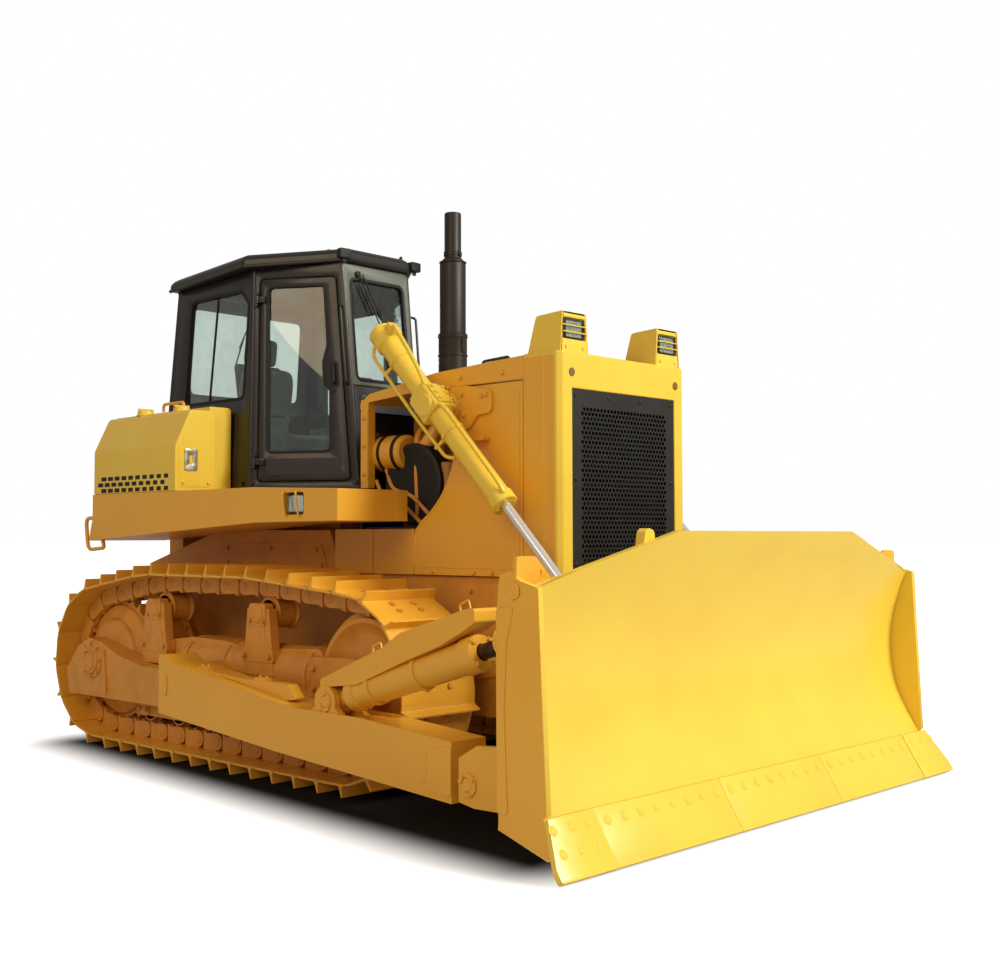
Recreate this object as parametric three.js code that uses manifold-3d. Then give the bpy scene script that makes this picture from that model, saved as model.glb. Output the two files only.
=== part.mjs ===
// A crawler bulldozer with a straight tilting blade, in millimetres.
// +X is the machine's left, -Y its front (the blade), +Z up.
// The sizes below are taken in a frame whose Y = 0 is the sprocket's axis and whose Z = 0 is the
// ground; at the end the whole machine is shifted so that its origin is the bottom centre of its box.
import * as THREE from 'three';
import { mergeVertices } from 'three/addons/utils/BufferGeometryUtils.js';
import { ConvexGeometry } from 'three/addons/geometries/ConvexGeometry.js';
import Module from 'manifold-3d';

const wasm = await Module();
wasm.setup();

// ---------------------------------------------------------------- driving dimensions

const seat = 0.3;                    // gap between two faces that rest on each other

const track = {
  gauge: 2000, shoe: 560, pitch: 216, grouser: 66, plate: 15, link: 120, linkWidth: 200,
  sprocketTip: 597, idlerTip: 612, wheelbase: 2760, carrierRail: 1100, carriers: [-645, -1838],
};
const carrier = { radius: 95 };
const roller = { radius: 100, width: 180, count: 6, firstY: -470, lastY: -2270 };
const frameBeam = { width: 260, bottom: 400, top: 640, rearY: -430, frontY: -2330 };
const hull = { half: 560, bottom: 430, front: -3560, wall: 120, troughFloor: 700 };
const guard = {
  half: 590, front: -3836, bottom: 700, top: 2516, grilleHalf: 480, grilleTop: 2310, grilleBottom: 800,
  grille: 12, lip: 30,
};
const lamp = { width: 236, depth: 236, front: -3800, top: 2745, x: 440 };
const hood = { half: 590, sheet: 15, joint: 2374, rear: -2129, drop: 2300 };
const bay = { postFront: -2208, postRear: -2136 };
const engine = { half: 330, front: -3450, rear: -2250, top: 2250 };
const stack = { y: -2380, collar: 95, muffler: 87, pipe: 56, wall: 5, neck: 3340, top: 3640, shoulder: 2818 };
const platform = { half: 1200, top: 1790, rear: 156, front: -2648, step: -1834, floor: 1600 };
const tank = { front: -931, rear: 200, shoulder: 2100, top: 2350, inner: 706, ledge: 885, slope: 120 };
const fuelTank = { half: 640, front: 200, rear: 520, bottom: 1540, top: 2300 };
const cab = {
  floor: 1790, top: 3386, wall: 45, half: 700, halfTop: 640, noseHalf: 289, noseHalfTop: 310,
  rearY: 42, rearTopY: -83, bendY: -1065, bendTopY: -1026, noseY: -1775, noseTopY: -1596, fall: 0.0436,
};
const door = { from: 0.08, to: 0.93, bottom: 1860, top: 3290, gap: 6, proud: 4 };
const hinge = { t: 0.055, out: 24, pin: 8, knuckle: 15, half: 30, play: 1, strapHalf: 25, heights: [2000, 3140] };
const roof = { thick: 100, overhang: 95 };
const arm = { x: 1430, half: 120, tongueHalf: 50, rear: -1320 };
const trunnion = { y: -1450, z: 570, radius: 70 };
// The left ball is the blade's own pivot; the right pin has room for the arc that its arm makes.
const ballPin = { y: -4067, z: 279, ball: 50, pin: 30, side: 31, fork: 32 };
const strut = {
  rearY: -2950, rearZ: 582, frontY: -4300, frontZ: 980, barrel: 86, rod: 40, gland: 1157, ball: 40, ear: 30, side: 36,
};
const lift = {
  x: 750, y: -2990, z: 2247, angle: 45.7, eye: 1920, head: 690, gland: 834, barrel: 68, rod: 29,
  rodInside: 450, bore: 430, pin: 45, ear: 30, side: 75,
};
const blade = {
  half: 1783, shoulder: 1251, crest: 1504, crestHalf: 841, back: -4500, skin: 30, endPlate: 30,
  edgeHalf: 1862.5, edgeY: -4946, edgeZ: 17, edgeTopY: -4793, edgeTopZ: 262, edgeThick: 28,
};

// ---------------------------------------------------------------- materials

const paint = (color, roughness = 0.4) => new THREE.MeshStandardMaterial({ color, roughness, metalness: 0 });
const yellow = paint(0xf2b21d);
const black = paint(0x2a2a27, 0.45);
const grilleBlack = paint(0x17181a, 0.6);
const exhaustGrey = paint(0x3a3733, 0.55);
const engineYellow = paint(0xc98a2e, 0.5);
const seatGrey = paint(0x4a4d50, 0.8);
const steel = new THREE.MeshStandardMaterial({ color: 0xd8dadb, roughness: 0.15, metalness: 1 });
const glass = new THREE.MeshStandardMaterial({
  color: 0x9fb0ae, roughness: 0.05, metalness: 0, transparent: true, opacity: 0.35,
});

// ---------------------------------------------------------------- solids

function solid(source) {
  const geometry = source;
  geometry.deleteAttribute('normal');
  geometry.deleteAttribute('uv');
  const merged = mergeVertices(geometry, 1e-3);
  return new wasm.Manifold(new wasm.Mesh({
    numProp: 3,
    vertProperties: new Float32Array(merged.attributes.position.array),
    triVerts: new Uint32Array(merged.index.array),
  }));
}

function join(...parts) {
  return parts.flat().reduce((whole, part) => whole.add(part));
}

function outline(points, holes = []) {
  const shape = new THREE.Shape(points.map(([a, b]) => new THREE.Vector2(a, b)));
  shape.holes = holes.map((hole) => new THREE.Path(hole.map(([a, b]) => new THREE.Vector2(a, b))));
  return shape;
}

function extrude(shape, depth) {
  return new THREE.ExtrudeGeometry(shape, { depth, bevelEnabled: false, curveSegments: 12 });
}

// An outline of [y, z] points, from x0 to x1.
function alongX(points, x0, x1, holes = []) {
  const geometry = extrude(outline(points, holes), x1 - x0);
  const axes = new THREE.Matrix4().makeBasis(
    new THREE.Vector3(0, 1, 0), new THREE.Vector3(0, 0, 1), new THREE.Vector3(1, 0, 0));
  return solid(geometry.applyMatrix4(axes).translate(x0, 0, 0));
}

// An outline of [x, z] points, from y0 to y1.
function alongY(points, y0, y1) {
  const geometry = extrude(outline(points), y1 - y0);
  return solid(geometry.rotateX(Math.PI / 2).translate(0, y1, 0));
}

function box(x0, x1, y0, y1, z0, z1) {
  const geometry = new THREE.BoxGeometry(x1 - x0, y1 - y0, z1 - z0);
  return solid(geometry.translate((x0 + x1) / 2, (y0 + y1) / 2, (z0 + z1) / 2));
}

function hull3(points) {
  return solid(new ConvexGeometry(points.map((p) => new THREE.Vector3(...p))));
}

// A round bar from one point to another.
function bar(from, to, radius, sides = 16) {
  const start = new THREE.Vector3(...from);
  const run = new THREE.Vector3(...to).sub(start);
  const geometry = new THREE.CylinderGeometry(radius, radius, run.length(), sides);
  geometry.translate(0, run.length() / 2, 0);
  geometry.applyQuaternion(new THREE.Quaternion().setFromUnitVectors(
    new THREE.Vector3(0, 1, 0), run.clone().normalize()));
  return solid(geometry.translate(...start));
}

// A turned body about the X axis through (y, z): its profile is [x, radius] from axis to axis.
function turnedX(profile, y, z, sides = 32) {
  const geometry = new THREE.LatheGeometry(profile.map(([x, r]) => new THREE.Vector2(r, x)), sides);
  return solid(geometry.rotateZ(-Math.PI / 2).translate(0, y, z));
}

// A turned body about the Z axis through (0, y): its profile is [radius, z] from axis to axis.
function turnedZ(profile, y, sides = 28) {
  const geometry = new THREE.LatheGeometry(profile.map(([r, z]) => new THREE.Vector2(r, z)), sides);
  return solid(geometry.rotateX(Math.PI / 2).translate(0, y, 0));
}

function wheelX(x0, x1, y, z, radius, sides = 16) {
  return turnedX([[x0, 0], [x0, radius], [x1, radius], [x1, 0]], y, z, sides);
}

const pinSides = 20;

// The radius of a faceted bore in which a faceted pin or ball can turn.
function boreFor(radius) {
  return (radius + seat) / Math.cos(Math.PI / pinSides);
}

// The middle zone of a ball, which is all that bears in its bore.
function ball(x, y, z, radius) {
  const zone = [-48, -24, 0, 24, 48].map((a) => THREE.MathUtils.degToRad(a))
    .map((a) => [x + radius * Math.sin(a), radius * Math.cos(a)]);
  return turnedX([[zone[0][0], 0], ...zone, [zone.at(-1)[0], 0]], y, z, pinSides);
}

const machine = new THREE.Group();

function geometryOf(body) {
  const { vertProperties, triVerts } = body.getMesh();
  const geometry = new THREE.BufferGeometry();
  geometry.setAttribute('position', new THREE.BufferAttribute(new Float32Array(vertProperties), 3));
  geometry.setIndex(new THREE.BufferAttribute(new Uint32Array(triVerts), 1));
  return geometry;
}

// The same body on the other side of the machine, with its faces turned so that they still point out.
function mirrorGeometry(geometry) {
  geometry.scale(-1, 1, 1);
  const index = geometry.index.array;
  for (let i = 0; i < index.length; i += 3) {
    [index[i], index[i + 1]] = [index[i + 1], index[i]];
  }
  return geometry;
}

function mirrorSolid(body) {
  return solid(mirrorGeometry(geometryOf(body)));
}

function place(name, geometry, material) {
  const mesh = new THREE.Mesh(geometry, material);
  mesh.name = name;
  machine.add(mesh);
  return mesh;
}

function placeBody(name, body, material) {
  place(name, geometryOf(body), material);
}

// A body drawn at +X gives the left piece, and its mirror the right one.
function placePair(name, body, material) {
  place(`${name}_left`, geometryOf(body), material);
  place(`${name}_right`, mirrorGeometry(geometryOf(body)), material);
}

// ---------------------------------------------------------------- tracks

const trackX = track.gauge / 2;
const linkHalf = track.link / 2;
const pinToTip = linkHalf + track.plate + track.grouser;
const sprocket = { y: 0, z: track.sprocketTip, pin: track.sprocketTip - pinToTip };
const idler = { y: -track.wheelbase, z: track.idlerTip, pin: track.idlerTip - pinToTip };
// A wheel under a chain of straight links reaches only to the middle of each link.
const railRadius = (wheel) => Math.sqrt(wheel.pin ** 2 - (track.pitch / 2) ** 2) - linkHalf - seat;

// The closed line of the track's pins: under, round the sprocket, over the carriers, round the idler.
function pinLine() {
  const points = [];
  const onWheel = (wheel, from, to) => {
    for (let a = from; a <= to; a += 3) {
      const angle = THREE.MathUtils.degToRad(a);
      points.push([wheel.y + wheel.pin * Math.cos(angle), wheel.z + wheel.pin * Math.sin(angle)]);
    }
  };
  onWheel(sprocket, -90, 81);
  const rise = track.carrierRail + linkHalf;
  track.carriers.forEach((y) => points.push([y, rise]));
  onWheel(idler, 96, 270);
  return points;
}

// The pins themselves, a whole number of them at even steps along the line.
function pins() {
  const line = pinLine();
  line.push(line[0]);
  const lengths = [0];
  for (let i = 1; i < line.length; i += 1) {
    const [dy, dz] = [line[i][0] - line[i - 1][0], line[i][1] - line[i - 1][1]];
    lengths.push(lengths[i - 1] + Math.hypot(dy, dz));
  }
  const total = lengths.at(-1);
  const count = Math.round(total / track.pitch);
  return Array.from({ length: count }, (_, k) => {
    const along = (k * total) / count;
    const i = lengths.findIndex((length) => length > along);
    const t = (along - lengths[i - 1]) / (lengths[i] - lengths[i - 1]);
    return [0, 1].map((c) => line[i - 1][c] + t * (line[i][c] - line[i - 1][c]));
  });
}

// A closed ring at a distance outside the pins, with mitred corners.
function ring(points, offset) {
  const count = points.length;
  return points.map((p, k) => {
    const before = points[(k + count - 1) % count];
    const after = points[(k + 1) % count];
    const run = new THREE.Vector2(p[0] - before[0], p[1] - before[1]).normalize();
    const next = new THREE.Vector2(after[0] - p[0], after[1] - p[1]).normalize();
    const out = new THREE.Vector2(run.y + next.y, -run.x - next.x).normalize();
    const mitre = offset / out.dot(new THREE.Vector2(run.y, -run.x));
    return [p[0] + out.x * mitre, p[1] + out.y * mitre];
  });
}

// The outer side of the shoes: flat plates, each with one tapering grouser near its leading edge.
function shoeLine(points) {
  const face = linkHalf + track.plate;
  const count = points.length;
  return points.flatMap((p, k) => {
    const next = points[(k + 1) % count];
    const length = Math.hypot(next[0] - p[0], next[1] - p[1]);
    const [ty, tz] = [(next[0] - p[0]) / length, (next[1] - p[1]) / length];
    const at = (s, out) => [p[0] + ty * s + tz * out, p[1] + tz * s - ty * out];
    return [
      at(3, face), at(22, face), at(30, face + track.grouser), at(44, face + track.grouser),
      at(56, face), at(length - 3, face),
    ];
  });
}

function trackLoop() {
  const points = pins();
  const overlap = 6;
  const shoes = alongX(shoeLine(points), trackX - track.shoe / 2, trackX + track.shoe / 2,
    [ring(points, linkHalf)]);
  const links = alongX(ring(points, linkHalf + overlap), trackX - track.linkWidth / 2,
    trackX + track.linkWidth / 2, [ring(points, -linkHalf)]);
  return join(shoes, links);
}

// ---------------------------------------------------------------- undercarriage

const caseEnd = 885;
const wheelSides = 28;

function sprocketWheel() {
  const rim = railRadius(sprocket);
  return turnedX([
    [caseEnd, 0], [caseEnd, 200], [955, 230], [955, rim], [1045, rim], [1045, 290], [1085, 270],
    [1105, 225], [1105, 95], [1125, 95], [1125, 0],
  ], sprocket.y, sprocket.z, wheelSides);
}

function idlerWheel() {
  const rim = railRadius(idler);
  const half = track.linkWidth / 2 - 12;
  const side = [[half + 14, 0], [half + 14, 70], [half - 30, 80], [half - 30, rim - 60], [half, rim - 30],
    [half, rim]];
  const profile = [
    ...side.map(([x, r]) => [trackX - x, r]), ...side.reverse().map(([x, r]) => [trackX + x, r]),
  ];
  return turnedX(profile, idler.y, idler.z, wheelSides);
}

// The height of a carrier's axle, so that the carrier just meets the links above it.
function carrierHeight(y) {
  const inner = ring(pins(), -linkHalf);
  const heights = inner.map(([y0, z0], k) => {
    const [y1, z1] = inner[(k + 1) % inner.length];
    const above = Math.min(z0, z1) > sprocket.z && Math.min(y0, y1) < y + 250 && Math.max(y0, y1) > y - 250;
    const slope = (z1 - z0) / (y1 - y0);
    return above ? z0 + slope * (y - y0) - (carrier.radius + seat) * Math.hypot(1, slope) : Infinity;
  });
  return Math.min(...heights);
}

function trackFrame() {
  const beamIn = trackX - frameBeam.width / 2;
  const beamOut = trackX + frameBeam.width / 2;
  const rail = linkHalf * 2 + track.plate + track.grouser;      // height of the rail the rollers run on
  const rollerZ = rail + seat + roller.radius;
  const beam = box(beamIn, beamOut, frameBeam.frontY, frameBeam.rearY, frameBeam.bottom, frameBeam.top);
  const housing = bar([trackX, -950, 640], [trackX, -2350, 640], 165, 20);
  const plates = [beamIn, beamOut - 28].map((x) => alongX(
    [[-400, 420], [-2420, 420], [-2380, 270], [-2300, 245], [-480, 245], [-420, 290]], x, x + 28));
  const rollers = Array.from({ length: roller.count }, (_, k) => {
    const y = roller.firstY + (k * (roller.lastY - roller.firstY)) / (roller.count - 1);
    return [wheelX(trackX - roller.width / 2, trackX + roller.width / 2, y, rollerZ, roller.radius),
      wheelX(beamIn + 5, beamOut - 5, y, rollerZ, 45, 6)];
  }).flat();
  const carriers = track.carriers.flatMap((y) => [
    wheelX(trackX - 90, trackX + 90, y, carrierHeight(y), carrier.radius),
    wheelX(trackX, trackX + 150, y, carrierHeight(y), 42, 8),
    alongX([[y + 145, 620], [y - 155, 620], [y - 145, 790], [y - 112, 1033], [y + 111, 1033], [y + 135, 790]],
      trackX + 110, trackX + 170),
    box(trackX - 60, trackX + 170, y - 130, y + 120, 620, 720),
  ]);
  const outerArm = alongX([
    [374, 520], [330, 350], [-1250, 350], [-1250, 600], [-675, 600], [-330, 660], [-130, 735], [60, 760],
    [200, 700]], trackX + 130 - 5, trackX + 270);
  const hub = wheelX(trackX + 260, trackX + 300, sprocket.y, sprocket.z + 13, 95);
  const yokes = [[beamIn - 10, beamIn + 25], [beamOut - 24, beamOut + 20]].map(([x0, x1]) => alongX([
    [-2250, 480], [-2250, 700], [-2560, 745], [-2900, 745], [-2950, 640], [-2900, 500]], x0, x1));
  const pivot = [
    wheelX(beamOut - 10, arm.x - arm.half - seat, trunnion.y, trunnion.z, 120),
    wheelX(beamOut - 10, arm.x + arm.half - 45, trunnion.y, trunnion.z, trunnion.radius, pinSides),
  ];
  return join(beam, housing, plates, rollers, carriers, outerArm, hub, yokes, pivot);
}

// ---------------------------------------------------------------- hull

function mainFrame() {
  const side = [
    [421, 1280], [-522, 1532], [-1789, 1525], [-1873, 1314], [-2610, 1242], [hull.front, 1242],
    [hull.front, 620], [-3300, hull.bottom], [250, hull.bottom], [421, 620],
  ];
  const body = alongX(side, -hull.half, hull.half);
  const trough = box(-hull.half + hull.wall, hull.half - hull.wall, engine.front - 60, engine.rear + 100,
    hull.troughFloor, 2000);
  const pads = box(-400, 400, -1700, -300, 1400, platform.floor - seat);
  const tankSeat = box(-400, 400, 210, 400, 1200, fuelTank.bottom - seat);
  const cases = [1, -1].map((side2) => {
    const reach = caseEnd - seat;
    const [x0, x1] = side2 > 0 ? [hull.half - 10, reach] : [-reach, -hull.half + 10];
    return wheelX(x0, x1, sprocket.y, sprocket.z, 330, wheelSides);
  });
  const reachX = trackX - frameBeam.width / 2 - seat;
  const equalizer = box(-reachX, reachX, -2200, -2060, frameBeam.bottom, frameBeam.bottom + 120);
  const drawbar = [
    box(-130, 130, 400, 520, 470, 640),
    box(-90, 90, 480, 585, 500, 545), box(-90, 90, 480, 585, 575, 620),
  ];
  return join(body.subtract(trough), pads, tankSeat, cases, equalizer, drawbar);
}

function engineBlock() {
  return join(
    box(-engine.half, engine.half, engine.front, engine.rear, hull.troughFloor + seat, engine.top - 250),
    box(-engine.half + 90, engine.half - 90, engine.front + 80, engine.rear, engine.top - 260, engine.top));
}

// ---------------------------------------------------------------- nose

function lampBox(x) {
  const half = lamp.width / 2;
  const [y0, y1, z0] = [lamp.front, lamp.front + lamp.depth, guard.top - 20];
  const shell = hull3([-1, 1].flatMap((s) => [
    [x + s * half, y0, z0], [x + s * half, y1, z0],
    [x + s * (half - 20), y0, lamp.top], [x + s * (half - 20), y1 - 55, lamp.top - 12],
  ]));
  return shell.subtract(box(x - half + 48, x + half - 48, y0 - 10, y0 + 90, guard.top + 95, lamp.top - 38));
}

function radiatorGuard() {
  const corner = 30;
  const g = guard.half;
  const plan = new THREE.Shape([
    [-g, hull.front - seat], [-g, guard.front + corner], [-g + corner, guard.front],
    [g - corner, guard.front], [g, guard.front + corner], [g, hull.front - seat],
  ].map(([x, y]) => new THREE.Vector2(x, y)));
  const body = solid(extrude(plan, guard.top - guard.bottom).translate(0, 0, guard.bottom));
  const opening = box(-guard.grilleHalf, guard.grilleHalf, guard.front - 10, hull.front + 10,
    guard.grilleBottom, guard.grilleTop);
  return join(body.subtract(opening), seatRails(), lampBox(lamp.x), lampBox(-lamp.x));
}

// Narrow rails in the guard's opening, which the grille is screwed to.
function seatRails() {
  const y0 = guard.front + 6 + guard.grille + seat;
  return [-1, 1].map((s) => box(
    Math.min(s * guard.grilleHalf, s * (guard.grilleHalf - guard.lip)) - 1,
    Math.max(s * guard.grilleHalf, s * (guard.grilleHalf - guard.lip)) + 1,
    y0, y0 + 20, guard.grilleBottom - 5, guard.grilleTop + 5));
}

function radiatorGrille() {
  return box(-guard.grilleHalf + seat, guard.grilleHalf - seat, guard.front + 6, guard.front + 6 + guard.grille,
    guard.grilleBottom + seat, guard.grilleTop - seat);
}

function hoodTop() {
  const skin = [
    [hull.front + seat, 2512], [-2828, 2474], [-2217, 2392], [hood.rear, hood.drop + 40],
    [hood.rear, hood.drop], [-2217, hood.drop + 40], [-2688, hood.joint + seat], [hull.front + seat, hood.joint + seat],
  ];
  const inside = [
    [hull.front - 10, 2512 - hood.sheet], [-2828, 2474 - hood.sheet], [-2217, 2392 - hood.sheet],
    [hood.rear + 20, 2340 - hood.sheet], [hood.rear + 20, 2200], [hull.front - 10, 2200],
  ];
  const shell = alongX(skin, -hood.half, hood.half)
    .subtract(alongX(inside, -hood.half + hood.sheet, hood.half - hood.sheet));
  const posts = [1, -1].map((s) => {
    const [x0, x1] = s > 0 ? [hood.half - 60, hood.half] : [-hood.half, -hood.half + 60];
    return box(x0, x1, bay.postFront, bay.postRear, platform.top + seat, 2360);
  });
  const hole = bar([0, stack.y, 2200], [0, stack.y, 2600], stack.collar + 15, 28);
  return join(shell, posts).subtract(hole);
}

function hoodSide() {
  const rear = [[-2643, 1242 + seat], [-2643, 1538], [-2731, 1580], [-2848, 1684], [-2950, 1823], [-3001, 1944],
    [-3020, 2100], [-3020, hood.joint]];
  const panel = alongX([...rear, [hull.front + seat, hood.joint], [hull.front + seat, 1242 + seat]],
    hood.half - hood.sheet, hood.half);
  const lip = box(hull.half - 30, hood.half - 5, hull.front + seat, -2650, 1242 + seat, 1242 + 18);
  const boss = wheelX(hood.half - 8, hood.half + 70, lift.y - 90, lift.z, 10, 12);
  const bracket = alongX([
    [lift.y - 300, lift.z + 90], [lift.y + 60, lift.z + 110], [lift.y + 100, lift.z], [lift.y + 40, lift.z - 110],
    [lift.y - 300, lift.z - 120],
  ], hood.half - 5, hood.half + 25);
  const socket = wheelX(hood.half, hood.half + 68, lift.y, lift.z, 85);
  const bore = wheelX(hood.half - 12, hood.half + 80, lift.y, lift.z, boreFor(lift.pin), pinSides);
  return join(panel, lip, boss, bracket, socket).subtract(bore);
}

function exhaustStack() {
  const r = stack.pipe - stack.wall;
  return turnedZ([
    [0, engine.top + seat], [stack.collar, engine.top + seat], [stack.collar + 8, 2480], [stack.collar, 2650],
    [stack.collar, stack.shoulder - 8], [stack.muffler, stack.shoulder], [stack.muffler, stack.neck - 30],
    [stack.pipe, stack.neck], [stack.pipe, stack.top], [r, stack.top], [r, stack.neck - 200],
    [0, stack.neck - 200],
  ], stack.y);
}

// ---------------------------------------------------------------- platform and tanks

function platformDeck() {
  const centre = box(-hull.half - 10, hull.half + 10, -1900, platform.rear, platform.floor, platform.top);
  const wing = [
    [207, 1456], [platform.rear, 1616], [platform.rear, platform.top], [platform.step, platform.top],
    [platform.front, platform.top - 28], [platform.front, 1573], [platform.step, 1569],
  ];
  const wings = [[hull.half, platform.half], [-platform.half, -hull.half]].map(([x0, x1]) => {
    const inner = x0 > 0 ? [hull.half + seat, hull.half + 90] : [-hull.half - 90, -hull.half - seat];
    const shorter = box(...inner, platform.front - 10, -1900, 1500, platform.top + 10);
    return alongX(wing, x0 > 0 ? x0 + seat : x0, x0 > 0 ? x1 : x1 - seat).subtract(shorter);
  });
  const recess = [1, -1].map((s) => {
    const [x0, x1] = s > 0 ? [platform.half - 70, platform.half + 10] : [-platform.half - 10, -platform.half + 70];
    return box(x0, x1, -2330, -2140, 1610, 1750);
  });
  return join(centre, wings).subtract(join(recess));
}

function sideTank() {
  const section = [
    [platform.half, platform.top + seat], [platform.half, tank.shoulder], [platform.half - tank.slope, tank.top],
    [tank.ledge, tank.top], [tank.ledge, tank.top + 38], [tank.inner, tank.top + 38],
    [tank.inner, platform.top + seat],
  ];
  const body = alongY(section, tank.front, tank.rear - 60);
  return body;
}

function rearTank() {
  const c = 60;
  const h = fuelTank.half;
  return alongY([
    [-h + c, fuelTank.bottom], [h - c, fuelTank.bottom], [h, fuelTank.bottom + c], [h, fuelTank.top - c],
    [h - c, fuelTank.top], [-h + c, fuelTank.top], [-h, fuelTank.top - c], [-h, fuelTank.bottom + c],
  ], fuelTank.front, fuelTank.rear);
}

// ---------------------------------------------------------------- cab

const mix = (a, b, t) => a + (b - a) * t;

// The cab's plan at a height: rear corner, bend and nose corner of the left side.
function cabPlan(z, inset = 0) {
  const t = (z - cab.floor) / (cab.top - cab.floor);
  const nose = mix(cab.noseHalf, cab.noseHalfTop, t);
  const half = mix(cab.half, cab.halfTop, t);
  return {
    rear: [half - inset, mix(cab.rearY, cab.rearTopY, t) - inset],
    bend: [half - inset, mix(cab.bendY, cab.bendTopY, t) + inset * 0.3],
    nose: [nose - inset * 0.3, mix(cab.noseY, cab.noseTopY, t) + inset],
  };
}

// The cab's top falls a little to the rear.
function cabCorners(z, inset, falls) {
  return Object.values(cabPlan(z, inset)).flatMap(([x, y]) => {
    const drop = falls ? cab.fall * (y - cab.noseTopY) : 0;
    return [[x, y, z - drop], [-x, y, z - drop]];
  });
}

function cabBlock(z0, z1, inset, falls = false) {
  return hull3([...cabCorners(z0, inset, false), ...cabCorners(z1, inset, falls)]);
}

// A point on the cab's left slanting face: t from the bend to the nose, and a depth into the wall.
function onDoorFace(t, z, depth) {
  const { bend, nose } = cabPlan(z);
  const run = new THREE.Vector2(nose[0] - bend[0], nose[1] - bend[1]).normalize();
  return [mix(bend[0], nose[0], t) + run.y * depth, mix(bend[1], nose[1], t) - run.x * depth, z];
}

function facePanel(t0, t1, z0, z1, d0, d1) {
  return hull3([t0, t1].flatMap((t) => [z0, z1].flatMap((z) => [d0, d1].map((d) => onDoorFace(t, z, d)))));
}

const doorGlass = { from: 0.17, to: 0.79, bottom: 2066, top: 3205 };
const sideGlass = { rear: -260, front: -1000, bottom: 2455, top: 3225 };
const rearGlass = { half: 520, bottom: 2560, top: 3225 };
const windshield = { half: 245, bottom: 2560, top: 3280 };

function windshieldPanel(grow, y0, y1) {
  const { half, bottom, top } = windshield;
  const lean = (z) => cabPlan(z).nose[1];
  return hull3([bottom - grow, top + grow].flatMap((z) => [y0, y1].flatMap((d) => [-1, 1].map(
    (s) => [s * (half + grow), lean(z) + d, z]))));
}

function rearPanel(grow, y0, y1) {
  const { half, bottom, top } = rearGlass;
  const lean = (z) => cabPlan(z).rear[1];
  return hull3([bottom - grow, top + grow].flatMap((z) => [y0, y1].flatMap((d) => [-1, 1].map(
    (s) => [s * (half + grow), lean(z) + d, z]))));
}

function sidePanel(side, grow, d0, d1) {
  const { rear, front, bottom, top } = sideGlass;
  return hull3([bottom - grow, top + grow].flatMap((z) => [front - grow, rear + grow].flatMap(
    (y) => [d0, d1].map((d) => [side * (cabPlan(z).bend[0] + d), y, z]))));
}

function mirrored(points) {
  return points.map(([x, y, z]) => [-x, y, z]);
}

function doorCut(side) {
  const points = [door.from, door.to].flatMap((t) => [door.bottom, door.top].flatMap(
    (z) => [-40, cab.wall + 60].map((d) => onDoorFace(t, z, d))));
  return hull3(side > 0 ? points : mirrored(points));
}

function cabFrame() {
  const outside = cabBlock(cab.floor + seat, cab.top, 0, true);
  const inside = cabBlock(cab.floor - 50, cab.top - 20, cab.wall, true);
  const cuts = [
    windshieldPanel(0, -60, 120), rearPanel(0, -120, 60), doorCut(1), doorCut(-1),
    ...[1, -1].map((side) => sidePanel(side, 0, -120, 30)),
  ];
  const shell = cuts.reduce((body, cut) => body.subtract(cut), outside.subtract(inside));
  const pins = join(hingePins());
  return join(shell, pins, mirrorSolid(pins));
}

function cabRoof() {
  const o = roof.overhang;
  const plan = cabPlan(cab.top);
  const rim = [
    [plan.rear[0] + 60, plan.rear[1] + 40], [plan.bend[0] + o, plan.bend[1]],
    [plan.nose[0] - 10, plan.nose[1] - 45],
  ];
  const layer = (rise, inset) => rim.flatMap(([x, y]) => {
    const z = cab.top + seat - cab.fall * (y - cab.noseTopY) + rise;
    const middle = y + (plan.bend[1] - y) * (inset / 700);
    return [[x - inset, middle, z], [-x + inset, middle, z]];
  });
  return hull3([...layer(0, 0), ...layer(roof.thick - 35, 0), ...layer(roof.thick, 45)]);
}

function cabFloor() {
  const slab = cabBlock(cab.floor + seat, cab.floor + 45, cab.wall + seat + 1);
  const dash = box(-210, 210, -1580, -1420, cab.floor + 30, 2480);
  const left = box(330, 560, -1040, -420, cab.floor + 30, 2330);
  const right = box(-560, -330, -1040, -420, cab.floor + 30, 2330);
  return join(slab, dash, left, right);
}

function operatorSeat() {
  const z = cab.floor + 45 + seat;
  const half = 250;
  return join(
    box(-180, 180, -760, -360, z, z + 320),
    alongX([[-920, z + 300], [-920, z + 410], [-420, z + 380], [-330, z + 300]], -half, half),
    alongX([[-440, z + 310], [-330, z + 310], [-200, z + 980], [-270, z + 1000], [-330, z + 960]], -half + 20, half - 20),
    alongX([[-290, z + 960], [-205, z + 960], [-180, z + 1180], [-260, z + 1190]], -130, 130));
}

// The doors' hinge line stands just outside the wall and leans with the pillar.
function onHingeLine(z) {
  return onDoorFace(hinge.t, z, -hinge.out);
}

function hingePins() {
  return hinge.heights.flatMap((z) => {
    const lugs = [-1, 1].map((s) => {
      const [z0, z1] = [z + s * (hinge.half + seat), z + s * (hinge.half + 22)].sort((a, b) => a - b);
      return facePanel(hinge.t - 0.02, hinge.t + 0.02, z0, z1, -hinge.out - 12, 10);
    });
    const reach = hinge.half + 10;
    return [...lugs, bar(onHingeLine(z - reach), onHingeLine(z + reach), hinge.pin, pinSides)];
  });
}

function hingeKnuckles() {
  return hinge.heights.flatMap((z) => [
    bar(onHingeLine(z - hinge.half + hinge.play), onHingeLine(z + hinge.half - hinge.play), hinge.knuckle, 12),
    facePanel(hinge.t, door.from + 0.08, z - hinge.strapHalf, z + hinge.strapHalf, -hinge.out - 5, -door.proud - 1),
    facePanel(door.from + 0.02, door.from + 0.08, z - hinge.strapHalf, z + hinge.strapHalf, -hinge.out - 5, 5),
  ]);
}

function hingeBores() {
  return hinge.heights.map((z) => bar(onHingeLine(z - hinge.half - 5), onHingeLine(z + hinge.half + 5),
    boreFor(hinge.pin), pinSides));
}

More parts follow.
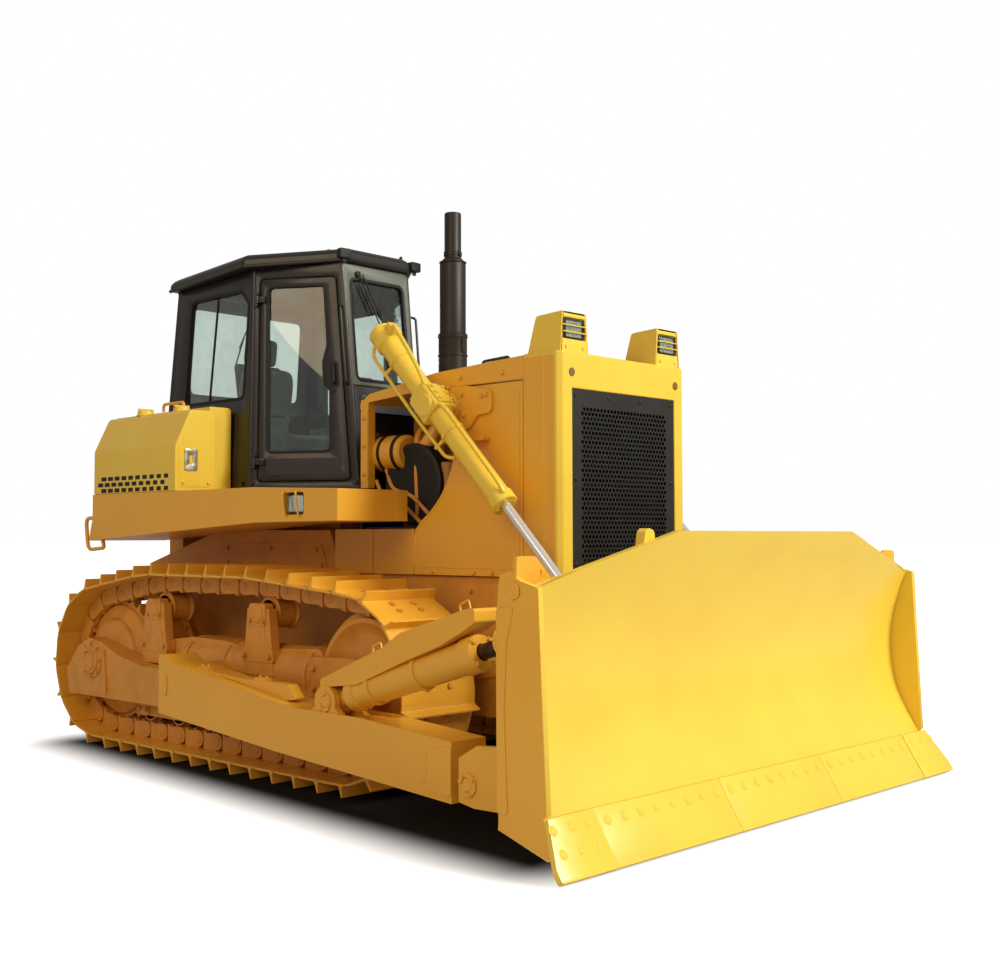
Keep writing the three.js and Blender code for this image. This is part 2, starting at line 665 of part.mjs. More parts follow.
function cabDoor() {
  const span = Math.hypot(cab.half - cab.noseHalf, cab.noseY - cab.bendY);
  const g = door.gap / span;
  const leaf = facePanel(door.from + g, door.to - g, door.bottom + door.gap, door.top - door.gap, -door.proud,
    cab.wall - door.proud);
  const window = facePanel(doorGlass.from, doorGlass.to, doorGlass.bottom, doorGlass.top, -60, cab.wall + 60);
  return join(leaf.subtract(window), hingeKnuckles()).subtract(join(hingeBores()));
}

function doorPane() {
  const g = seat / 700;
  return facePanel(doorGlass.from + g, doorGlass.to - g, doorGlass.bottom + seat, doorGlass.top - seat, 14, 20);
}

// ---------------------------------------------------------------- push arms and struts

function circle(y, z, radius, from, to, steps) {
  return Array.from({ length: steps + 1 }, (_, k) => {
    const a = THREE.MathUtils.degToRad(mix(from, to, k / steps));
    return [y + radius * Math.cos(a), z + radius * Math.sin(a)];
  });
}

function pushArm() {
  const [x0, x1] = [arm.x - arm.half, arm.x + arm.half];
  const body = alongX([
    [arm.rear, 376], [arm.rear, 740], [-1380, 745], [-1450, 700], [-2690, 530], [-3268, 525], [-3960, 473],
    [-3960, 172], [-3524, 205], [-2531, 271],
  ], x0, x1);
  const tongue = alongX([
    [-3900, ballPin.z + 150], [-3900, ballPin.z - 105], [-4000, ballPin.z - 105],
    ...circle(ballPin.y, ballPin.z, 105, 270, 90, 10), [-4000, ballPin.z + 105],
  ], arm.x - arm.tongueHalf, arm.x + arm.tongueHalf);
  const ears = [-1, 1].map((s) => {
    const [e0, e1] = s > 0 ? [60, 100] : [-100, -60];
    return alongX([
      [strut.rearY + 190, 480], [strut.rearY - 190, 480],
      ...circle(strut.rearY, strut.rearZ, 88, 200, -20, 10),
    ], arm.x + e0, arm.x + e1);
  });
  const strutPin = [wheelX(arm.x - 90, arm.x + 90, strut.rearY, strut.rearZ, 28),
    ball(arm.x, strut.rearY, strut.rearZ, strut.ball)];
  const socket = wheelX(x0 - 1, x1 - 30, trunnion.y, trunnion.z, boreFor(trunnion.radius), pinSides);
  const eye = wheelX(arm.x - 200, arm.x + 200, ballPin.y, ballPin.z, boreFor(ballPin.ball), pinSides);
  const pocket = box(arm.x - 60, arm.x + 60, strut.rearY - 350, strut.rearY + 150, strut.rearZ - 95, strut.rearZ + 200);
  const barrelRoom = box(arm.x - 105, arm.x + 105, strut.rearY - 420, strut.rearY - 110, strut.rearZ - 75,
    strut.rearZ + 200);
  return join(body.subtract(pocket).subtract(barrelRoom), tongue, ears, strutPin).subtract(socket).subtract(eye);
}

const strutRun = new THREE.Vector2(strut.frontY - strut.rearY, strut.frontZ - strut.rearZ);
const strutLength = strutRun.length();
strutRun.normalize();

function alongStrut(distance) {
  return [arm.x, strut.rearY + strutRun.x * distance, strut.rearZ + strutRun.y * distance];
}

function rearEye() {
  return [
    wheelX(arm.x - 48, arm.x + 48, strut.rearY, strut.rearZ, 80),
    bar(alongStrut(40), alongStrut(170), 48, 16),
  ];
}

const rearEyeBore = () => wheelX(arm.x - 60, arm.x + 60, strut.rearY, strut.rearZ, boreFor(strut.ball), pinSides);

const frontEyeHalf = 40;

function frontEye() {
  return wheelX(arm.x - frontEyeHalf, arm.x + frontEyeHalf, strut.frontY, strut.frontZ, 62);
}

function frontEyeBore() {
  return wheelX(arm.x - 60, arm.x + 60, strut.frontY, strut.frontZ, 44);
}

function tiltBarrel() {
  const tube = bar(alongStrut(150), alongStrut(strut.gland), strut.barrel, 16);
  const gland = bar(alongStrut(strut.gland - 90), alongStrut(strut.gland), strut.barrel + 10, 16);
  const hoseGuard = alongX([
    [-2900, 655], [-2900, 700], [-3409, 899], [-3546, 982], [-4018, 1120], [-4090, 1130], [-4090, 1060],
    [-4000, 960], [-3200, 700],
  ], arm.x - 50, arm.x + 50);
  const bore = bar(alongStrut(780), alongStrut(strut.gland + 10), strut.rod + 0.7, 16);
  return join(rearEye(), tube, gland, hoseGuard).subtract(bore).subtract(rearEyeBore());
}

function tiltRod() {
  return join(bar(alongStrut(900), alongStrut(strutLength - 30), strut.rod, 16), frontEye())
    .subtract(frontEyeBore());
}

function bladeBrace() {
  return join(rearEye(), bar(alongStrut(150), alongStrut(strut.gland - 60), 62, 16),
    bar(alongStrut(strut.gland - 160), alongStrut(strut.gland - 60), 78, 16),
    bar(alongStrut(strut.gland - 100), alongStrut(strutLength - 30), strut.rod, 16), frontEye())
    .subtract(rearEyeBore()).subtract(frontEyeBore());
}

// ---------------------------------------------------------------- lift cylinders

const liftRun = [
  -Math.cos(THREE.MathUtils.degToRad(lift.angle)), -Math.sin(THREE.MathUtils.degToRad(lift.angle)),
];

function alongLift(distance, x = lift.x) {
  return [x, lift.y + liftRun[0] * distance, lift.z + liftRun[1] * distance];
}

function liftBarrel() {
  const tube = bar(alongLift(-lift.head), alongLift(lift.gland), lift.barrel, 16);
  const head = bar(alongLift(-lift.head), alongLift(-lift.head + 150), lift.barrel + 18, 16);
  const gland = bar(alongLift(lift.gland - 70), alongLift(lift.gland), lift.barrel + 8, 16);
  const yoke = bar(alongLift(-150), alongLift(110), lift.barrel + 16, 16);
  const pin = wheelX(hood.half + 6, lift.x, lift.y, lift.z, lift.pin, pinSides);
  const outer = wheelX(lift.x, lift.x + lift.barrel + 40, lift.y, lift.z, lift.pin + 20);
  const bore = bar(alongLift(-lift.bore), alongLift(lift.gland + 10), lift.rod + 0.7, 16);
  return join(tube, head, gland, yoke, pin, outer).subtract(bore);
}

const liftEyeHalf = 35;

function liftRod() {
  const eye = alongLift(lift.eye);
  return join(bar(alongLift(lift.gland - lift.rodInside), alongLift(lift.eye - 30), lift.rod, 16),
    wheelX(lift.x - liftEyeHalf, lift.x + liftEyeHalf, eye[1], eye[2], 55))
    .subtract(wheelX(lift.x - 40, lift.x + 40, eye[1], eye[2], 36));
}

// ---------------------------------------------------------------- blade

const edgeRun = new THREE.Vector2(blade.edgeTopY - blade.edgeY, blade.edgeTopZ - blade.edgeZ);
const edgeLength = edgeRun.length();
edgeRun.normalize();

// A point beside the cutting edge's front face: a distance up it, and a depth behind it.
function onEdge(distance, depth) {
  return [
    blade.edgeY + edgeRun.x * distance + edgeRun.y * depth,
    blade.edgeZ + edgeRun.y * distance - edgeRun.x * depth,
  ];
}

// The moldboard's hollow front, from the cutting edge's top to the crest.
const moldboardCurve = new THREE.SplineCurve([
  onEdge(edgeLength + 6, blade.edgeThick + seat), [-4672, 420], [-4612, 570], [-4588, 740], [-4594, 900],
  [-4630, 1060], [-4700, 1250], [-4827, blade.crest],
].map(([y, z]) => new THREE.Vector2(y, z)));

function moldboardSection(depth, steps = 12) {
  const front = moldboardCurve.getPoints(steps);
  return front.map((p, k) => {
    const ahead = front[Math.min(k + 1, steps)];
    const behind = front[Math.max(k - 1, 0)];
    const run = new THREE.Vector2().subVectors(ahead, behind).normalize();
    return [p.x + run.y * depth, p.y - run.x * depth];
  });
}

function moldboard() {
  const front = moldboardSection(0);
  const behind = moldboardSection(blade.skin);
  const foot = [onEdge(60, blade.edgeThick + blade.skin + seat), onEdge(60, blade.edgeThick + seat)];
  const skin = alongX([...front, ...behind.slice().reverse(), ...foot], -blade.half, blade.half);
  const frontFrom = (z0, z1) => behind.filter(([, z]) => z > z0 && z < z1);
  const girder = (z0, z1, half) => alongX(
    [[blade.back, z0], [blade.back, z1], ...frontFrom(z0, z1).reverse().map(([y, z]) => [y - 8, z])],
    -half, half);
  const lower = girder(199, 520, blade.half - 10);
  const upper = girder(985, 1230, blade.half - 10);
  const toe = alongX([[blade.back, 199], [blade.back, 167], [-4790, 75], onEdge(100, blade.edgeThick + seat),
    [-4760, 240]], -blade.half, blade.half);
  const ribs = [-1250, -250, 250, 1250].map((x) => alongX(
    [[blade.back, 400], [blade.back, 1100], ...frontFrom(400, 1100).reverse().map(([y, z]) => [y - 8, z])],
    x - 12, x + 12));
  const ends = [[blade.half - blade.endPlate, blade.half], [-blade.half, -blade.half + blade.endPlate]]
    .map(([x0, x1]) => alongX([
      [-4492, 1152], [blade.back, 199], [-4497, 167], [-4778, 82], onEdge(90, blade.edgeThick + seat),
      onEdge(edgeLength + 8, blade.edgeThick + seat), onEdge(edgeLength + 8, 0), [-4742, 1251],
      [-4635, 1280], [-4568, 1318], [-4510, 1300],
    ], x0, x1));
  const front2 = alongY([
    [-blade.half, 0], [blade.half, 0], [blade.half, blade.shoulder], [blade.crestHalf, blade.crest],
    [-blade.crestHalf, blade.crest], [-blade.half, blade.shoulder]], -5200, -4400);
  const plate = join(skin, lower, upper, toe, ribs).intersect(front2);
  return join(plate, ends, bladeEars(1), bladeEars(-1));
}

// A plate pair on the blade's back, at both sides of a part that is centred at x and reaches half out.
function earPair(side, x, half, thick, points) {
  return [x - half - thick, x + half].map((x0) => {
    const ends = [side * x0, side * (x0 + thick)].sort((a, b) => a - b);
    return alongX(points, ...ends);
  });
}

function bladeEars(side) {
  const liftEye = alongLift(lift.eye);
  const forks = earPair(side, arm.x, arm.tongueHalf + ballPin.side, ballPin.fork, [
    [blade.back - 20, 180], [blade.back - 20, 490], [ballPin.y - 60, 470], [ballPin.y + 62, 400],
    [ballPin.y + 62, 190], [ballPin.y - 40, 172]]);
  const strutEars = earPair(side, arm.x, frontEyeHalf + strut.side, strut.ear, [
    [blade.back - 20, strut.frontZ + 10], [blade.back - 20, strut.frontZ + 190],
    ...circle(strut.frontY, strut.frontZ, 75, 60, -120, 8), [strut.frontY - 100, strut.frontZ - 40]]);
  const liftEars = earPair(side, lift.x, liftEyeHalf + lift.side, lift.ear, [
    [-4590, 500], [-4590, 1000], [blade.back, 1000], ...circle(liftEye[1], liftEye[2], 75, 60, -80, 8),
    [blade.back, 500]]);
  const reach = arm.tongueHalf + ballPin.side + 5;
  const [x0, x1] = [side * (arm.x - reach), side * (arm.x + reach)].sort((a, b) => a - b);
  const pin = [wheelX(x0, x1, ballPin.y, ballPin.z, ballPin.pin)];
  if (side > 0) {
    pin.push(ball(arm.x, ballPin.y, ballPin.z, ballPin.ball));
  }
  return [...forks, ...strutEars, ...liftEars, ...pin];
}

function cuttingEdge() {
  const section = [onEdge(0, 0), onEdge(edgeLength, 0), onEdge(edgeLength, blade.edgeThick),
    onEdge(12, blade.edgeThick)];
  const strip = alongX(section, -blade.edgeHalf, blade.edgeHalf);
  const front = alongY([
    [-blade.edgeHalf, -10], [blade.edgeHalf, -10], [blade.edgeHalf, 60], [blade.half + 12, 300],
    [-blade.half - 12, 300], [-blade.edgeHalf, 60]], -5200, -4400);
  return strip.intersect(front);
}

// ---------------------------------------------------------------- assembly

placeBody('main_frame', mainFrame(), yellow);
placeBody('engine_block', engineBlock(), engineYellow);
placeBody('radiator_guard', radiatorGuard(), yellow);
placeBody('radiator_grille', radiatorGrille(), grilleBlack);
placeBody('hood_top', hoodTop(), yellow);
placePair('hood_side', hoodSide(), yellow);
placeBody('exhaust_stack', exhaustStack(), exhaustGrey);
placeBody('platform_deck', platformDeck(), yellow);
placePair('side_tank', sideTank(), yellow);
placeBody('rear_tank', rearTank(), yellow);
placeBody('cab_frame', cabFrame(), black);
placeBody('cab_roof', cabRoof(), black);
placeBody('cab_floor', cabFloor(), seatGrey);
placeBody('operator_seat', operatorSeat(), seatGrey);
placeBody('windshield', windshieldPanel(-seat, 18, 24), glass);
placeBody('rear_glass', rearPanel(-seat, -24, -18), glass);
placePair('side_glass', sidePanel(1, -seat, -24, -18), glass);
placePair('cab_door', cabDoor(), black);
placePair('door_glass', doorPane(), glass);
placePair('track_frame', trackFrame(), yellow);
placePair('sprocket', sprocketWheel(), yellow);
placePair('idler', idlerWheel(), yellow);
placePair('track', trackLoop(), yellow);
placePair('push_arm', pushArm(), yellow);
placePair('lift_barrel', liftBarrel(), yellow);
placePair('lift_rod', liftRod(), steel);
// The tilt cylinder is on the right; the left side has the brace in its place.
place('tilt_barrel', mirrorGeometry(geometryOf(tiltBarrel())), yellow);
place('tilt_rod', mirrorGeometry(geometryOf(tiltRod())), steel);
placeBody('blade_brace', bladeBrace(), yellow);
placeBody('moldboard', moldboard(), yellow);
placeBody('cutting_edge', cuttingEdge(), yellow);

const bounds = new THREE.Box3().setFromObject(machine);
const centre = bounds.getCenter(new THREE.Vector3());
machine.position.set(-centre.x, -centre.y, -bounds.min.z);

export default machine;
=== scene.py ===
"""Looks of a crawler bulldozer: finishes, fine shapes and fittings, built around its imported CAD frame."""
from math import copysign, cos, exp, hypot, pi, radians, sin, sqrt, tan

import bmesh
import bpy
from bpy.props import FloatProperty, FloatVectorProperty, IntProperty, PointerProperty
from mathutils import Matrix, Vector


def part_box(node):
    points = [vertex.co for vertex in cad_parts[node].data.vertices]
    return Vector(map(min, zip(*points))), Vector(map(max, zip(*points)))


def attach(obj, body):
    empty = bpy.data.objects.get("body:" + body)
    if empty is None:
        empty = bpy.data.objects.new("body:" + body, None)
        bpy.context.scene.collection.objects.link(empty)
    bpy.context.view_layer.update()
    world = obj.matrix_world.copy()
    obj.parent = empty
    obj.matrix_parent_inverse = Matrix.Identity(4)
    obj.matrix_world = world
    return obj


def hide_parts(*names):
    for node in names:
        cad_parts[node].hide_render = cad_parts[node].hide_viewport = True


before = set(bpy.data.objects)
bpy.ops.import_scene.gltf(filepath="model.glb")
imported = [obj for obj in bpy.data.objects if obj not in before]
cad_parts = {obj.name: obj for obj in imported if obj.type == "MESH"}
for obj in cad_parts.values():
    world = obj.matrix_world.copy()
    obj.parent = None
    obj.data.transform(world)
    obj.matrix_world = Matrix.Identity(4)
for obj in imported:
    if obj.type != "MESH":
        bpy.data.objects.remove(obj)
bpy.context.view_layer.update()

bl_info = {
    "name": "Crawler Bulldozer",
    "version": (1, 0, 0),
    "blender": (4, 5, 0),
    "location": "3D View > Sidebar > Bulldozer",
    "description": "Builds the outside of a crawler bulldozer around its frame",
    "category": "Object",
}

# ---------------------------------------------------------------- places
# Shapes are drawn in millimetres, with Y = 0 at the sprockets' axle and Z = 0 on the ground.
# Right is -X and front is -Y; a piece drawn at +X is mirrored for the other side.

SPROCKET_LOW, SPROCKET_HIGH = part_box("sprocket_left")
AXLE_Y = (SPROCKET_LOW.y + SPROCKET_HIGH.y) / 2
MM = 0.001
TO_SCENE = Matrix.Translation((0, AXLE_Y, 0)) @ Matrix.Scale(MM, 4)
BODY_SLOT = "body_paint"


def low(node, axis):
    """The lowest place of a CAD node along an axis, in millimetres from the axle and the ground."""
    shift = AXLE_Y if axis == 1 else 0
    return (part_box(node)[0][axis] - shift) / MM


def high(node, axis):
    """The highest place of a CAD node along an axis, in the same millimetres."""
    shift = AXLE_Y if axis == 1 else 0
    return (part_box(node)[1][axis] - shift) / MM


def linear(code):
    """An sRGB hex colour as linear red, green and blue."""
    values = [int(code[k:k + 2], 16) / 255 for k in (0, 2, 4)]
    return tuple(v / 12.92 if v <= 0.04045 else ((v + 0.055) / 1.055) ** 2.4 for v in values)


# ---------------------------------------------------------------- sizes and colours a user may change

def length_property(name, description, default):
    return FloatProperty(
        name=name, description=description, default=default, unit="LENGTH", subtype="DISTANCE")


def colour_property(name, description, code):
    return FloatVectorProperty(
        name=name, description=description, default=linear(code), subtype="COLOR", size=3, min=0, max=1)


class DozerSizes(bpy.types.PropertyGroup):
    """Sizes of the fine shapes"""
    edge: FloatProperty(
        name="Edge rounding", description="Scale of every broken edge", default=1.0, min=0.0, max=2.0)
    hole: length_property("Grille hole", "Diameter of a hole in the radiator grille", 0.024)
    hole_pitch: length_property("Grille pitch", "Distance between holes in the radiator grille", 0.031)
    pipe: length_property("Oil pipe", "Diameter of the steel oil pipes on the lift cylinders", 0.027)
    teeth: IntProperty(
        name="Sprocket teeth", description="Teeth on each sprocket", default=27, min=11, max=41)


class DozerColours(bpy.types.PropertyGroup):
    """Colours of the finishes"""
    body: colour_property("Body paint", "Enamel on the sheet metal and frames", "EBB138")
    # The blade paint is the body enamel made lighter and more lemon: a painted-light copy for the lit front
    # faces of the blade, nose, lamp boxes, tank fronts and lift cylinders.
    blade: colour_property("Blade paint", "Enamel on the blade and the nose", "EDCC46")
    casting: colour_property("Casting paint", "Enamel on the cast and forged running gear", "DE9A38")
    cab: colour_property("Cab paint", "Enamel on the cab", "131312")
    grille: colour_property("Grille coating", "Powder coat on the radiator grille", "100F0D")
    exhaust: colour_property("Exhaust coating", "Heat-proof coating on the exhaust", "2A2725")
    seat: colour_property("Seat cloth", "Woven cover of the operator's seat", "6C7270")
    trim: colour_property("Cab trim", "Moulded trim inside the cab", "8A918B")
    glass: colour_property("Cab glass", "Tint of the cab's safety glass", "DCE6E0")


# ---------------------------------------------------------------- finishes

def add(tree, kind, settings=None, links=None):
    """Adds one shader node, sets its options, sockets and colour stops, and links what feeds it.
    What feeds it is a socket, or a node by its first working output."""
    made = tree.nodes.new("ShaderNode" + kind)
    for key, value in (settings or {}).items():
        if key == "stops":
            for stop, (place, colour) in zip(made.color_ramp.elements, value):
                stop.position = place
                stop.color = (*colour, 1)
        elif isinstance(key, int) or key in made.inputs:
            made.inputs[key].default_value = value
        else:
            setattr(made, key, value)
    for key, source in (links or {}).items():
        if isinstance(source, bpy.types.Node):
            source = next(output for output in source.outputs if output.enabled)
        tree.links.new(source, made.inputs[key])
    return made


def finish(name, surface, *values):
    """A material with the surface that a function adds to its empty tree."""
    material = bpy.data.materials.new(name)
    material.use_nodes = True
    tree = material.node_tree
    tree.nodes.clear()
    add(tree, "OutputMaterial", None, {"Surface": surface(tree, *values)})
    return material


def grain(tree, size_mm, detail=3.0, stretch=(1, 1, 1)):
    """A pattern of grains about size_mm across on the object."""
    place = add(tree, "TexCoord").outputs["Object"]
    scaled = add(tree, "Mapping", {"Scale": stretch}, {"Vector": place})
    noise = add(tree, "TexNoise", {"Scale": 1000 / size_mm, "Detail": detail}, {"Vector": scaled})
    return noise.outputs["Fac"]


def tinted(colour, factor):
    return tuple(min(1.0, c * factor) for c in colour)


def sprayed_enamel(tree, colour, grit_mm=9, roughness=(0.26, 0.40), bump=0.05, coat=0.18):
    """Sprayed enamel on steel: a soft gloss, orange peel, and cloudy patches where the coat is thinner."""
    clouds, dust, peel = grain(tree, 420, 4.0), grain(tree, 60, 6.0), grain(tree, grit_mm, 2.0)
    warm = (colour[0] * 0.97, colour[1] * 0.92, colour[2] * 0.86)
    base = add(tree, "ValToRGB", {"stops": ((0.28, warm), (0.62, colour))}, {"Fac": clouds})
    dusty = add(tree, "MapRange", {"To Max": 0.16}, {"Value": dust})
    film = add(tree, "Mix", {"data_type": "RGBA", 7: (*tinted(colour, 0.80), 1)}, {0: dusty, 6: base})
    dull = add(tree, "MapRange", {"To Min": roughness[0], "To Max": roughness[1]}, {"Value": dust})
    relief = add(tree, "Bump", {"Strength": bump, "Distance": 0.002}, {"Height": peel})
    return add(tree, "BsdfPrincipled", {"Coat Weight": coat, "Coat Roughness": 0.12},
               {"Base Color": film, "Roughness": dull, "Normal": relief})


def cast_enamel(tree, colour):
    """Enamel brushed over sand castings and forgings: dull, grainy, with grime in the hollows."""
    sand, patches = grain(tree, 7, 5.0), grain(tree, 130, 5.0)
    base = add(tree, "ValToRGB", {"stops": ((0.30, tinted(colour, 0.82)), (0.56, colour))}, {"Fac": patches})
    pits = add(tree, "MapRange", {"To Max": 0.30}, {"Value": sand})
    pitted = add(tree, "Mix", {"data_type": "RGBA", 7: (*tinted(colour, 0.84), 1)}, {0: pits, 6: base})
    dull = add(tree, "MapRange", {"To Min": 0.42, "To Max": 0.62}, {"Value": patches})
    relief = add(tree, "Bump", {"Strength": 0.22, "Distance": 0.003}, {"Height": sand})
    return add(tree, "BsdfPrincipled", {"Coat Weight": 0.1, "Coat Roughness": 0.3},
               {"Base Color": pitted, "Roughness": dull, "Normal": relief})


def powder_coat(tree, colour):
    """Baked powder coat: an even, finely pebbled satin skin."""
    pebble, haze = grain(tree, 5, 2.0), grain(tree, 180, 4.0)
    stops = ((0.3, tinted(colour, 0.75)), (0.7, tinted(colour, 1.25)))
    base = add(tree, "ValToRGB", {"stops": stops}, {"Fac": haze})
    dull = add(tree, "MapRange", {"To Min": 0.42, "To Max": 0.6}, {"Value": haze})
    relief = add(tree, "Bump", {"Strength": 0.12, "Distance": 0.001}, {"Height": pebble})
    return add(tree, "BsdfPrincipled", {"Specular IOR Level": 0.5},
               {"Base Color": base, "Roughness": dull, "Normal": relief})


def heatproof_coat(tree, colour):
    """Heat-proof coating on the exhaust: matt, a little browned, with fine streaks down the pipe."""
    streaks, scorch = grain(tree, 30, 5.0, (1, 1, 0.12)), grain(tree, 260, 3.0)
    browned = (colour[0] * 1.25, colour[1] * 1.02, colour[2] * 0.8)
    base = add(tree, "ValToRGB", {"stops": ((0.3, tinted(colour, 0.8)), (0.7, browned))}, {"Fac": scorch})
    soot = add(tree, "MapRange", {"To Max": 0.5}, {"Value": streaks})
    streaked = add(tree, "Mix", {"data_type": "RGBA", 7: (*tinted(colour, 0.55), 1)}, {0: soot, 6: base})
    dull = add(tree, "MapRange", {"To Min": 0.36, "To Max": 0.58}, {"Value": streaks})
    relief = add(tree, "Bump", {"Strength": 0.1, "Distance": 0.001}, {"Height": streaks})
    return add(tree, "BsdfPrincipled", {"Metallic": 0.35},
               {"Base Color": streaked, "Roughness": dull, "Normal": relief})


def ground_chrome(tree):
    """Hard chrome ground round: bright, with grinding marks around the rod too fine to see singly."""
    marks = grain(tree, 3, 2.0)
    base = add(tree, "ValToRGB", {"stops": ((0.3, linear("D6DADD")), (0.7, linear("F2F4F6")))},
               {"Fac": marks})
    dull = add(tree, "MapRange", {"To Min": 0.14, "To Max": 0.24}, {"Value": marks})
    return add(tree, "BsdfPrincipled", {"Metallic": 0.6}, {"Base Color": base, "Roughness": dull})


def bare_steel(tree, code):
    """Machined steel under oil: grey brown, worn bright in patches."""
    worn = grain(tree, 40, 5.0)
    stops = ((0.3, tinted(linear(code), 0.45)), (0.7, linear(code)))
    base = add(tree, "ValToRGB", {"stops": stops}, {"Fac": worn})
    dull = add(tree, "MapRange", {"To Min": 0.28, "To Max": 0.5}, {"Value": worn})
    return add(tree, "BsdfPrincipled", {"Metallic": 0.85}, {"Base Color": base, "Roughness": dull})


def safety_glass(tree, colour):
    """Laminated safety glass: clear, a faint grey green, with a trace of dust that softens reflections."""
    dust = grain(tree, 90, 5.0)
    base = add(tree, "ValToRGB", {"stops": ((0.3, tinted(colour, 0.94)), (0.7, colour))}, {"Fac": dust})
    dull = add(tree, "MapRange", {"To Max": 0.03}, {"Value": dust})
    return add(tree, "BsdfPrincipled", {"Transmission Weight": 1.0, "IOR": 1.5},
               {"Base Color": base, "Roughness": dull})


def moulded_rubber(tree, code="17171A", roughness=(0.45, 0.7)):
    """Moulded rubber and hard plastic: near black, matt, with a fine leathery grain."""
    leather, haze = grain(tree, 4, 3.0), grain(tree, 90, 4.0)
    stops = ((0.3, tinted(linear(code), 0.8)), (0.7, tinted(linear(code), 1.35)))
    base = add(tree, "ValToRGB", {"stops": stops}, {"Fac": haze})
    dull = add(tree, "MapRange", {"To Min": roughness[0], "To Max": roughness[1]}, {"Value": haze})
    relief = add(tree, "Bump", {"Strength": 0.15, "Distance": 0.0015}, {"Height": leather})
    return add(tree, "BsdfPrincipled", {"Specular IOR Level": 0.4},
               {"Base Color": base, "Roughness": dull, "Normal": relief})


def woven_cloth(tree, colour, thread_mm=6):
    """Woven seat cloth: threads drawn coarser than real ones so that the weave shows."""
    place = add(tree, "TexCoord").outputs["Object"]
    weft, warp = (add(tree, "TexWave", {"Scale": 1000 / thread_mm / 6.28, "bands_direction": way},
                      {"Vector": place}).outputs["Fac"] for way in ("X", "Z"))
    weave = add(tree, "Math", {"operation": "MULTIPLY"}, {0: weft, 1: warp})
    stops = ((0.1, tinted(colour, 0.7)), (0.8, tinted(colour, 1.15)))
    base = add(tree, "ValToRGB", {"stops": stops}, {"Fac": weave})
    relief = add(tree, "Bump", {"Strength": 0.4, "Distance": 0.002}, {"Height": weave})
    return add(tree, "BsdfPrincipled", {"Roughness": 0.85, "Sheen Weight": 0.3, "Sheen Roughness": 0.5},
               {"Base Color": base, "Normal": relief})


def lamp_reflector(tree):
    """Vacuum-plated reflector behind a fluted lens: bright, with painted highlights in soft vertical flutes.
    """
    place = add(tree, "TexCoord").outputs["Object"]
    flutes = add(tree, "TexWave", {"Scale": 22.0, "bands_direction": "X"}, {"Vector": place}).outputs["Fac"]
    # Painted highlights: the colour runs from grey to near white across each flute, standing in for the light
    # that the fluted lens breaks up; the bump gives the flutes their shape.
    base = add(tree, "ValToRGB", {"stops": ((0.1, linear("A9A69B")), (0.9, linear("F3EFE4")))},
               {"Fac": flutes})
    relief = add(tree, "Bump", {"Strength": 0.5, "Distance": 0.003}, {"Height": flutes})
    return add(tree, "BsdfPrincipled", {"Metallic": 0.6, "Roughness": 0.22},
               {"Base Color": base, "Normal": relief})


FINISHES = {}
SLOTS = {"casting": "track_paint", "cab": "cab_paint", "front": "cab_paint", "glass": "cab_glass",
         "grille": "grille_paint", "core": "grille_paint", "exhaust": "exhaust_metal", "chrome": "rod_chrome",
         "cloth": "seat_cover", "trim": "cab_trim", "engine": "engine_paint"}


def make_finishes(colours):
    """Every finish, once, by a plain name."""
    FINISHES.update({ "body": finish("sprayed_enamel_body", sprayed_enamel, colours.body),
                     # blade: painted light, the lemon copy of the body enamel for the lit front faces.
                     "blade": finish("sprayed_enamel_body_painted_lit", sprayed_enamel, colours.blade),
                     "casting": finish("cast_enamel_running_gear", cast_enamel, colours.casting),
                     "cab": finish("sprayed_enamel_cab", sprayed_enamel, colours.cab, 6, (0.30, 0.46), 0.04,
                                   0.2), "grille": finish("powder_coat_grille", powder_coat,
                                                          colours.grille),
                     "exhaust": finish("heatproof_coat_exhaust", heatproof_coat, colours.exhaust),
                     "chrome": finish("ground_chrome_rods", ground_chrome),
                     "steel": finish("bare_machined_steel", bare_steel, "8B8478"),
                     "oiled": finish("oiled_dark_steel", bare_steel, "54402C"),
                     "plate": finish("plated_latch_steel", bare_steel, "D6D0BC"),
                     "glass": finish("laminated_safety_glass", safety_glass, colours.glass),
                     "rubber": finish("moulded_rubber", moulded_rubber),
                     "trim": finish("moulded_cab_trim", moulded_rubber, "6E756F", (0.5, 0.7)),
                     "cloth": finish("woven_seat_cloth", woven_cloth, colours.seat),
                     "lamp": finish("plated_lamp_reflector", lamp_reflector),
                     "plug": finish("moulded_plug", moulded_rubber, "7A5C36"),
                     "engine": finish("cast_enamel_engine", cast_enamel, linear("B9802E")),
                     # front: painted light, the black cab enamel made grey for the cab's upper front wall
                     # where it faces the lamps.
                     "front": finish("sprayed_enamel_cab_painted_lit", sprayed_enamel, linear("6A716B"), 6,
                                     (0.34, 0.5), 0.04, 0.15), "core": finish("radiator_core_coat",
                                                                              powder_coat,
                                                                              linear("1A1A18")), })


# ---------------------------------------------------------------- shape tools

def rounded(outline, radius, steps=4):
    """An outline with its corners rounded; radius is one number or one for each corner."""
    points = [Vector(p) for p in outline]
    count = len(points)
    radii = radius if isinstance(radius, (list, tuple)) else [radius] * count
    result = []
    for k, corner in enumerate(points):
        back = points[k - 1] - corner
        ahead = points[(k + 1) % count] - corner
        half = max(back.angle(ahead) / 2, 0.05)
        reach = min(radii[k] / tan(half), 0.48 * back.length, 0.48 * ahead.length)
        if reach < 0.5:
            result.append(tuple(corner))
            continue
        start = corner + back.normalized() * reach
        end = corner + ahead.normalized() * reach
        for step in range(steps + 1):
            t = step / steps
            result.append(tuple(start * (1 - t) ** 2 + corner * 2 * t * (1 - t) + end * t * t))
    return result


def rectangle(a0, a1, b0, b1):
    return [(a0, b0), (a1, b0), (a1, b1), (a0, b1)]


def tile(a0, a1, b0, b1, radius, steps=4):
    """A rectangle with rounded corners."""
    return rounded(rectangle(a0, a1, b0, b1), radius, steps)


